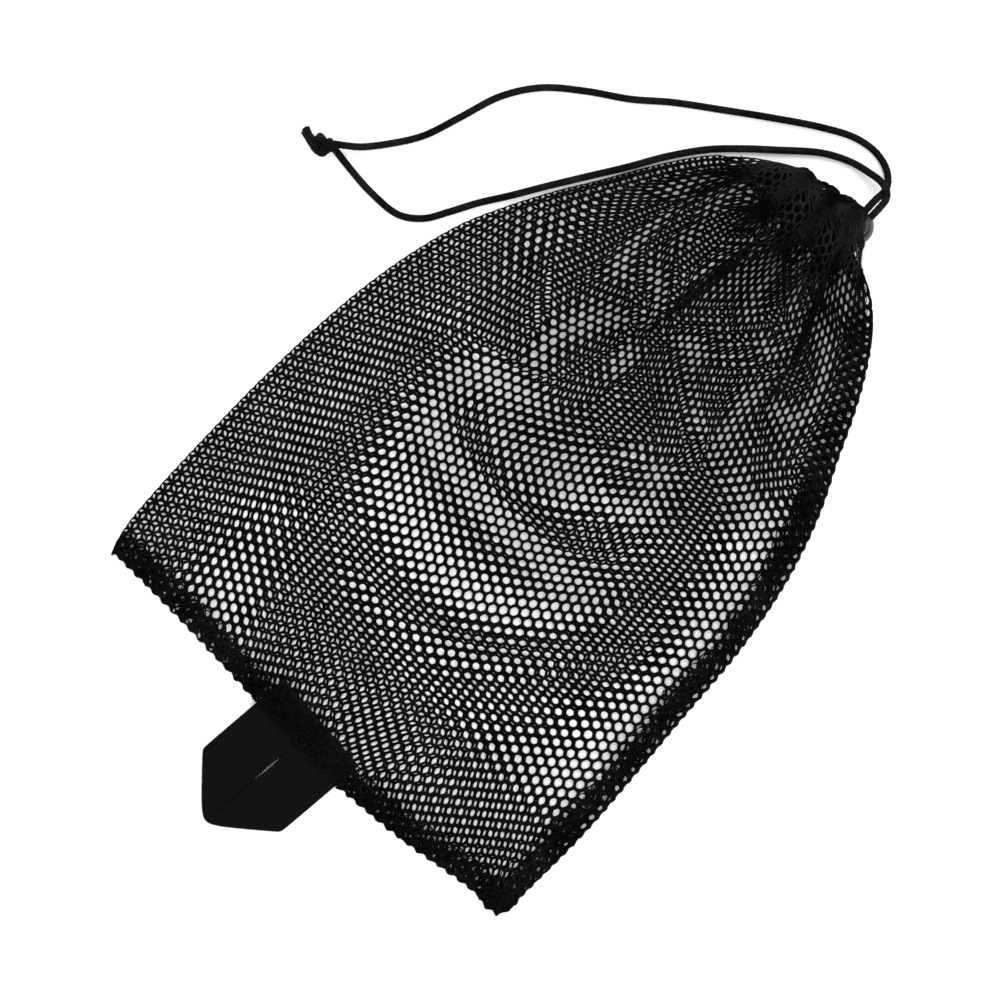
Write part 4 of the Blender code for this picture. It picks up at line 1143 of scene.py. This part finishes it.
def strap_surface(u, v):
    """Middle surface of the strap: u along it from the left end, v across."""
    a, e = SHOULDER, 0.75
    L, R = np.array([-LEG - 12.5, -a]), np.array([LEG + 12.5, -a])
    p = np.stack([L[0] + (u - a), -a - (v + 12.5)], 1)
    z = np.full(len(p), 1.25)
    for corner, n in ((L, np.array([-1.0, -1.0]) / math.sqrt(2)), (R, np.array([1.0, -1.0]) / math.sqrt(2))):
        t = (p - corner) @ n
        root = np.sqrt(t * t + e * e)
        p = p + np.outer(-root + e * 0.55 - t, n) * 1.0
        z = z + 1.6 * (0.5 + 0.5 * t / root)
    # the left fold sits a little lower, the tip is blunt, and the two legs
    # part a little half way down
    x, y = p[:, 0], p[:, 1]
    y = y - np.interp(x, [-25.0, 0.7, 25.0], [3.6, 1.6, 1.2]) * ease(-8.0, -33.0, y)
    inside_tip = np.maximum(y + SHOULDER + 26.6 - np.abs(x), 0.0)
    y = y + (np.sqrt(x**2 + 3.9**2) - np.abs(x)) * np.exp(-inside_tip / 8.0)
    part = ease(-13.5, -20.0, y) * (1 - ease(-23.0, -33.0, y))
    side = np.where(np.round(0.5 - 0.5 * np.sign(u - SHOULDER - 25.0)) > 0.5, -1.0, 1.0)
    x = x + side * 0.36 * part * np.clip(1 - np.abs(x) / 25.0, 0, 1)
    return np.stack([x, y], 1), z


def build_strap():
    a = SHOULDER
    span = 2 * (LEG + 12.5)
    inside_len = 9.0
    u = np.arange(-inside_len, 2 * a + span + inside_len, 0.33)
    vn = 30
    v = np.linspace(-STRAP_HALF, STRAP_HALF, vn + 1)
    Ug, Vg = np.meshgrid(u, v, indexing="ij")
    uf, vf = Ug.ravel(), Vg.ravel()
    p, z = strap_surface(uf, vf)
    x, y = strap_place(p[:, 0], p[:, 1])
    # beyond the shoulder the loop lies on the table; a gentle lift at the middle
    mid = np.stack([x, y, z], 1)
    G = mid.reshape(len(u), vn + 1, 3)
    du = np.gradient(G, axis=0)
    dv = np.gradient(G, axis=1)
    nrm = np.cross(du, dv)
    nrm /= np.linalg.norm(nrm, axis=2)[..., None] + 1e-9
    edge = 1 - np.abs(Vg) / STRAP_HALF  # 0 at the selvedge
    selv = np.clip(edge / 0.07, 0, 1)
    rib = 0.09 * np.cos(2 * math.pi * Ug / 1.10) * selv
    fine = 0.03 * np.cos(2 * math.pi * Vg / 1.67 + math.pi * np.round(Ug / 0.55)) * selv
    half = 0.52 + rib + fine + 0.08 * (1 - selv)
    half = half * np.sqrt(np.clip(1 - (1 - np.clip(edge / 0.02, 0, 1)) ** 2, 0.12, 1))
    top = G + nrm * half[..., None]
    bot = G - nrm * half[..., None]
    nu, nv = len(u), vn + 1
    V = np.concatenate([top.reshape(-1, 3), bot.reshape(-1, 3)])
    uv = np.stack([uf, vf], 1)
    UV = np.concatenate([uv, uv])
    i, j = np.meshgrid(np.arange(nu - 1), np.arange(nv - 1), indexing="ij")
    o = nu * nv
    A = i * nv + j
    quads = [
        np.stack([A, A + nv, A + nv + 1, A + 1], 2).reshape(-1, 4),
        np.stack([A + o, A + 1 + o, A + nv + 1 + o, A + nv + o], 2).reshape(-1, 4),
    ]
    i = np.arange(nu - 1)
    for jj, flip in ((0, False), (nv - 1, True)):
        q = np.stack([i * nv + jj, i * nv + jj + o, (i + 1) * nv + jj + o, (i + 1) * nv + jj], 1)
        quads.append(q[:, ::-1] if flip else q)
    j = np.arange(nv - 1)
    for ii, flip in ((0, True), (nu - 1, False)):
        q = np.stack([ii * nv + j, ii * nv + j + o, ii * nv + j + 1 + o, ii * nv + j + 1], 1)
        quads.append(q[:, ::-1] if flip else q)
    return mesh_object("webbing_strap", V, np.concatenate(quads), WEBBING, UV)


strap = build_strap()
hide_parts("webbing_loop", "webbing_end_left", "webbing_end_right")
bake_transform(strap)


def tack(name, cx, cad):
    """Bar of dense stitches through the seam and one end of the strap."""
    lines = []
    for row in (-3.2, 0.4, 4.0):
        x = np.arange(cx - 10.2, cx + 10.3, 0.35)
        ph = np.arange(len(x)) * 0.9
        xs, ys = strap_place(x, row + 1.1 * np.sin(ph))
        u = (xs + 115.8) / 233.8 * WIDE
        v = ys - bow(xs)
        pos, nrm = surface(cloth, u, np.clip(v, 0.5, 40.0))
        lines.append(pos + nrm * (0.55 + 0.1 * np.cos(2 * ph))[:, None])
    return thread(name, lines, cad)


tack("tack_stitches_left", -LEG, "tack_thread_left")
tack("tack_stitches_right", LEG, "tack_thread_right")


# ------------------------------------------------------------------ cord lock
def lathe(name, profile, centre, mat, seg=72):
    """Closed profile of (radius, z) turned about a vertical axis, in mm."""
    prof = np.asarray(profile, float)
    n = len(prof)
    th = np.arange(seg) / seg * 2 * math.pi
    V = np.stack(
        [centre[0] + prof[:, None, 0] * np.cos(th)[None], centre[1] + prof[:, None, 0] * np.sin(th)[None],
         np.repeat(prof[:, 1:2], seg, 1)], 2,
    ).reshape(-1, 3)
    i, j = np.meshgrid(np.arange(n - 1), np.arange(seg), indexing="ij")
    jn = (j + 1) % seg
    quads = np.stack([i * seg + j, i * seg + jn, (i + 1) * seg + jn, (i + 1) * seg + j], 2).reshape(-1, 4)
    V = np.concatenate([V, [(centre[0], centre[1], prof[0, 1]), (centre[0], centre[1], prof[-1, 1])]])
    jj = np.arange(seg)
    jn = (jj + 1) % seg
    c0, c1 = n * seg, n * seg + 1
    tris = np.concatenate([np.stack([jn, jj, np.full(seg, c0)], 1), np.stack([(n - 1) * seg + jj, (n - 1) * seg + jn, np.full(seg, c1)], 1)])
    return mesh_object(name, V, [quads, tris], mat)


def rounded(points, r, steps=5):
    """Profile with each inner corner rounded by about r."""
    p = [np.array(q, float) for q in points]
    out = [p[0]]
    for a, b, c in zip(p, p[1:], p[2:]):
        u, w = a - b, c - b
        lu, lw = np.linalg.norm(u), np.linalg.norm(w)
        k = min(r, lu * 0.45, lw * 0.45)
        s, e = b + u / lu * k, b + w / lw * k
        for t in np.linspace(0, 1, steps):
            out.append((1 - t) ** 2 * s + 2 * t * (1 - t) * b + t * t * e)
    out.append(p[-1])
    return out


def slot_cutter(name, z, half_w, r, depth, centre, tall=0.0):
    """Stadium-shaped bar along Y, to cut the cords' way through. Its upper
    half stands tall mm higher."""
    pts = []
    for side in (1, -1):
        for t in np.linspace(-math.pi / 2, math.pi / 2, 13):
            ang = t if side > 0 else t + math.pi
            up = tall if math.sin(ang) > 0.01 else 0.0
            pts.append((centre[0] + side * (half_w - r) + r * math.cos(ang), z + r * math.sin(ang) + up))
    n = len(pts)
    V = [(x, centre[1] - depth, zz) for x, zz in pts] + [(x, centre[1] + depth, zz) for x, zz in pts]
    mesh = bpy.data.meshes.new(name)
    faces = [tuple(range(n))[::-1], tuple(range(n, 2 * n))] + [(i, (i + 1) % n, n + (i + 1) % n, n + i) for i in range(n)]
    mesh.from_pydata([tuple(q) for q in world(V)], [], faces)
    bm = bmesh.new()
    bm.from_mesh(mesh)
    bmesh.ops.recalc_face_normals(bm, faces=bm.faces)
    bm.to_mesh(mesh)
    bm.free()
    obj = bpy.data.objects.new(name, mesh)
    bpy.context.scene.collection.objects.link(obj)
    return obj


def outward(obj):
    bm = bmesh.new()
    bm.from_mesh(obj.data)
    bmesh.ops.remove_doubles(bm, verts=bm.verts, dist=1e-6)
    bmesh.ops.recalc_face_normals(bm, faces=bm.faces)
    bm.to_mesh(obj.data)
    bm.free()


def cut(obj, tool, bevel):
    """obj minus tool, with its edges eased, as a plain mesh."""
    outward(obj)
    mod = obj.modifiers.new("cut", "BOOLEAN")
    mod.operation = "DIFFERENCE"
    mod.solver = "EXACT"
    mod.object = tool
    bev = obj.modifiers.new("ease", "BEVEL")
    bev.width = bevel * 0.001
    bev.segments = 3
    bev.limit_method = "ANGLE"
    bev.angle_limit = math.radians(38)
    bpy.context.view_layer.update()
    done = bpy.data.meshes.new_from_object(obj.evaluated_get(bpy.context.evaluated_depsgraph_get()))
    obj.modifiers.clear()
    obj.data = done
    obj.data.materials.clear()
    obj.data.materials.append(PLASTIC)
    obj.data.polygons.foreach_set("use_smooth", np.full(len(obj.data.polygons), True))
    bpy.data.objects.remove(tool, do_unlink=True)
    return obj


def ball_profile():
    r, c = 7.8, 7.8
    out = [(0.9, 0.0)]
    out += [(r * math.sin(t), c - r * math.cos(t)) for t in np.linspace(0.14, 1.42, 22)]
    # parting line round the widest place
    out += [(7.76, 7.35), (7.60, 7.62), (7.60, 7.98), (7.76, 8.25)]
    last = math.acos((c - 13.0) / r)
    out += [(r * math.sin(t), c - r * math.cos(t)) for t in np.linspace(1.72, last - 0.03, 12)]
    out += rounded([(5.75, 13.0), (5.25, 13.0), (5.1, 12.6), (5.1, 3.1), (3.6, 3.1), (3.6, 1.6), (0.4, 1.6)], 0.25)
    return out


barrel = lathe("lock_ball", ball_profile(), LOCK, PLASTIC)
barrel = cut(barrel, slot_cutter("ball_bore", 9.5, 4.2, 2.1, 12.0, LOCK), 0.18)
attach(barrel, "lock")
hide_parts("lock_barrel")

button = lathe(
    "lock_button",
    rounded([(0.4, 6.4), (4.6, 6.4), (4.8, 6.8), (4.8, 17.4), (4.2, 18.3), (3.2, 18.5), (2.6, 18.15), (0.4, 17.95)], 0.35),
    LOCK, PLASTIC,
)
button = cut(button, slot_cutter("button_bore", 9.5, 3.9, 1.98, 12.0, LOCK, tall=3.2), 0.12)
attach(button, "plunger")
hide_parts("lock_plunger")

# The spring: a conical coil that flattens under the button.
turn = np.linspace(0, 1, 145)
coil = np.stack(
    [LOCK[0] + (3.05 - 1.2 * turn) * np.cos(6 * math.pi * turn), LOCK[1] + (3.05 - 1.2 * turn) * np.sin(6 * math.pi * turn), 2.15 + 3.70 * turn], 1
)
spring = thin_tube("lock_spring_coil", [coil], 0.25, STEEL, around=10)
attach(spring, "lock")
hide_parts("lock_spring")
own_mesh(spring)


# ----------------------------------------------------------- floor and lights
floor_mesh = bpy.data.meshes.new("floor")
floor_mesh.from_pydata([(-3, -3, 0), (3, -3, 0), (3, 3, 0), (-3, 3, 0)], [], [(0, 1, 2, 3)])
floor = bpy.data.objects.new("floor", floor_mesh)
bpy.context.scene.collection.objects.link(floor)
fmat, ftree, fb = material("pale_floor")
fcoord = node(ftree, "ShaderNodeTexCoord")
fnoise = node(ftree, "ShaderNodeTexNoise", in_Scale=3.0, in_Detail=2.0)
ftree.links.new(fcoord.outputs["Object"], fnoise.inputs["Vector"])
fcol = ramp(ftree, fnoise.outputs["Fac"], ((0.3, (0.90, 0.90, 0.905)), (0.7, (0.93, 0.93, 0.935))))
ftree.links.new(fcol.outputs["Color"], fb.inputs["Base Color"])
fb.inputs["Roughness"].default_value = 0.75
floor_mesh.materials.append(fmat)

world_data = bpy.data.worlds.new("studio")
bpy.context.scene.world = world_data
world_data.use_nodes = True
bg = world_data.node_tree.nodes["Background"]
bg.inputs["Color"].default_value = (1.0, 1.0, 1.0, 1.0)
bg.inputs["Strength"].default_value = 1.42


def area_light(name, at, size, power, aim=(0, 0, 0)):
    data = bpy.data.lights.new(name, "AREA")
    data.shape = "SQUARE"
    data.size = size
    data.energy = power
    obj = bpy.data.objects.new(name, data)
    obj.location = at
    obj.rotation_euler = (Vector(aim) - Vector(at)).to_track_quat("-Z", "Y").to_euler()
    bpy.context.scene.collection.objects.link(obj)


area_light("key", (-0.9, 1.1, 1.5), 1.3, 24)
area_light("fill", (1.2, -0.6, 1.4), 1.6, 14)
bpy.context.scene.view_settings.view_transform = "Standard"

bpy.context.view_layer.update()
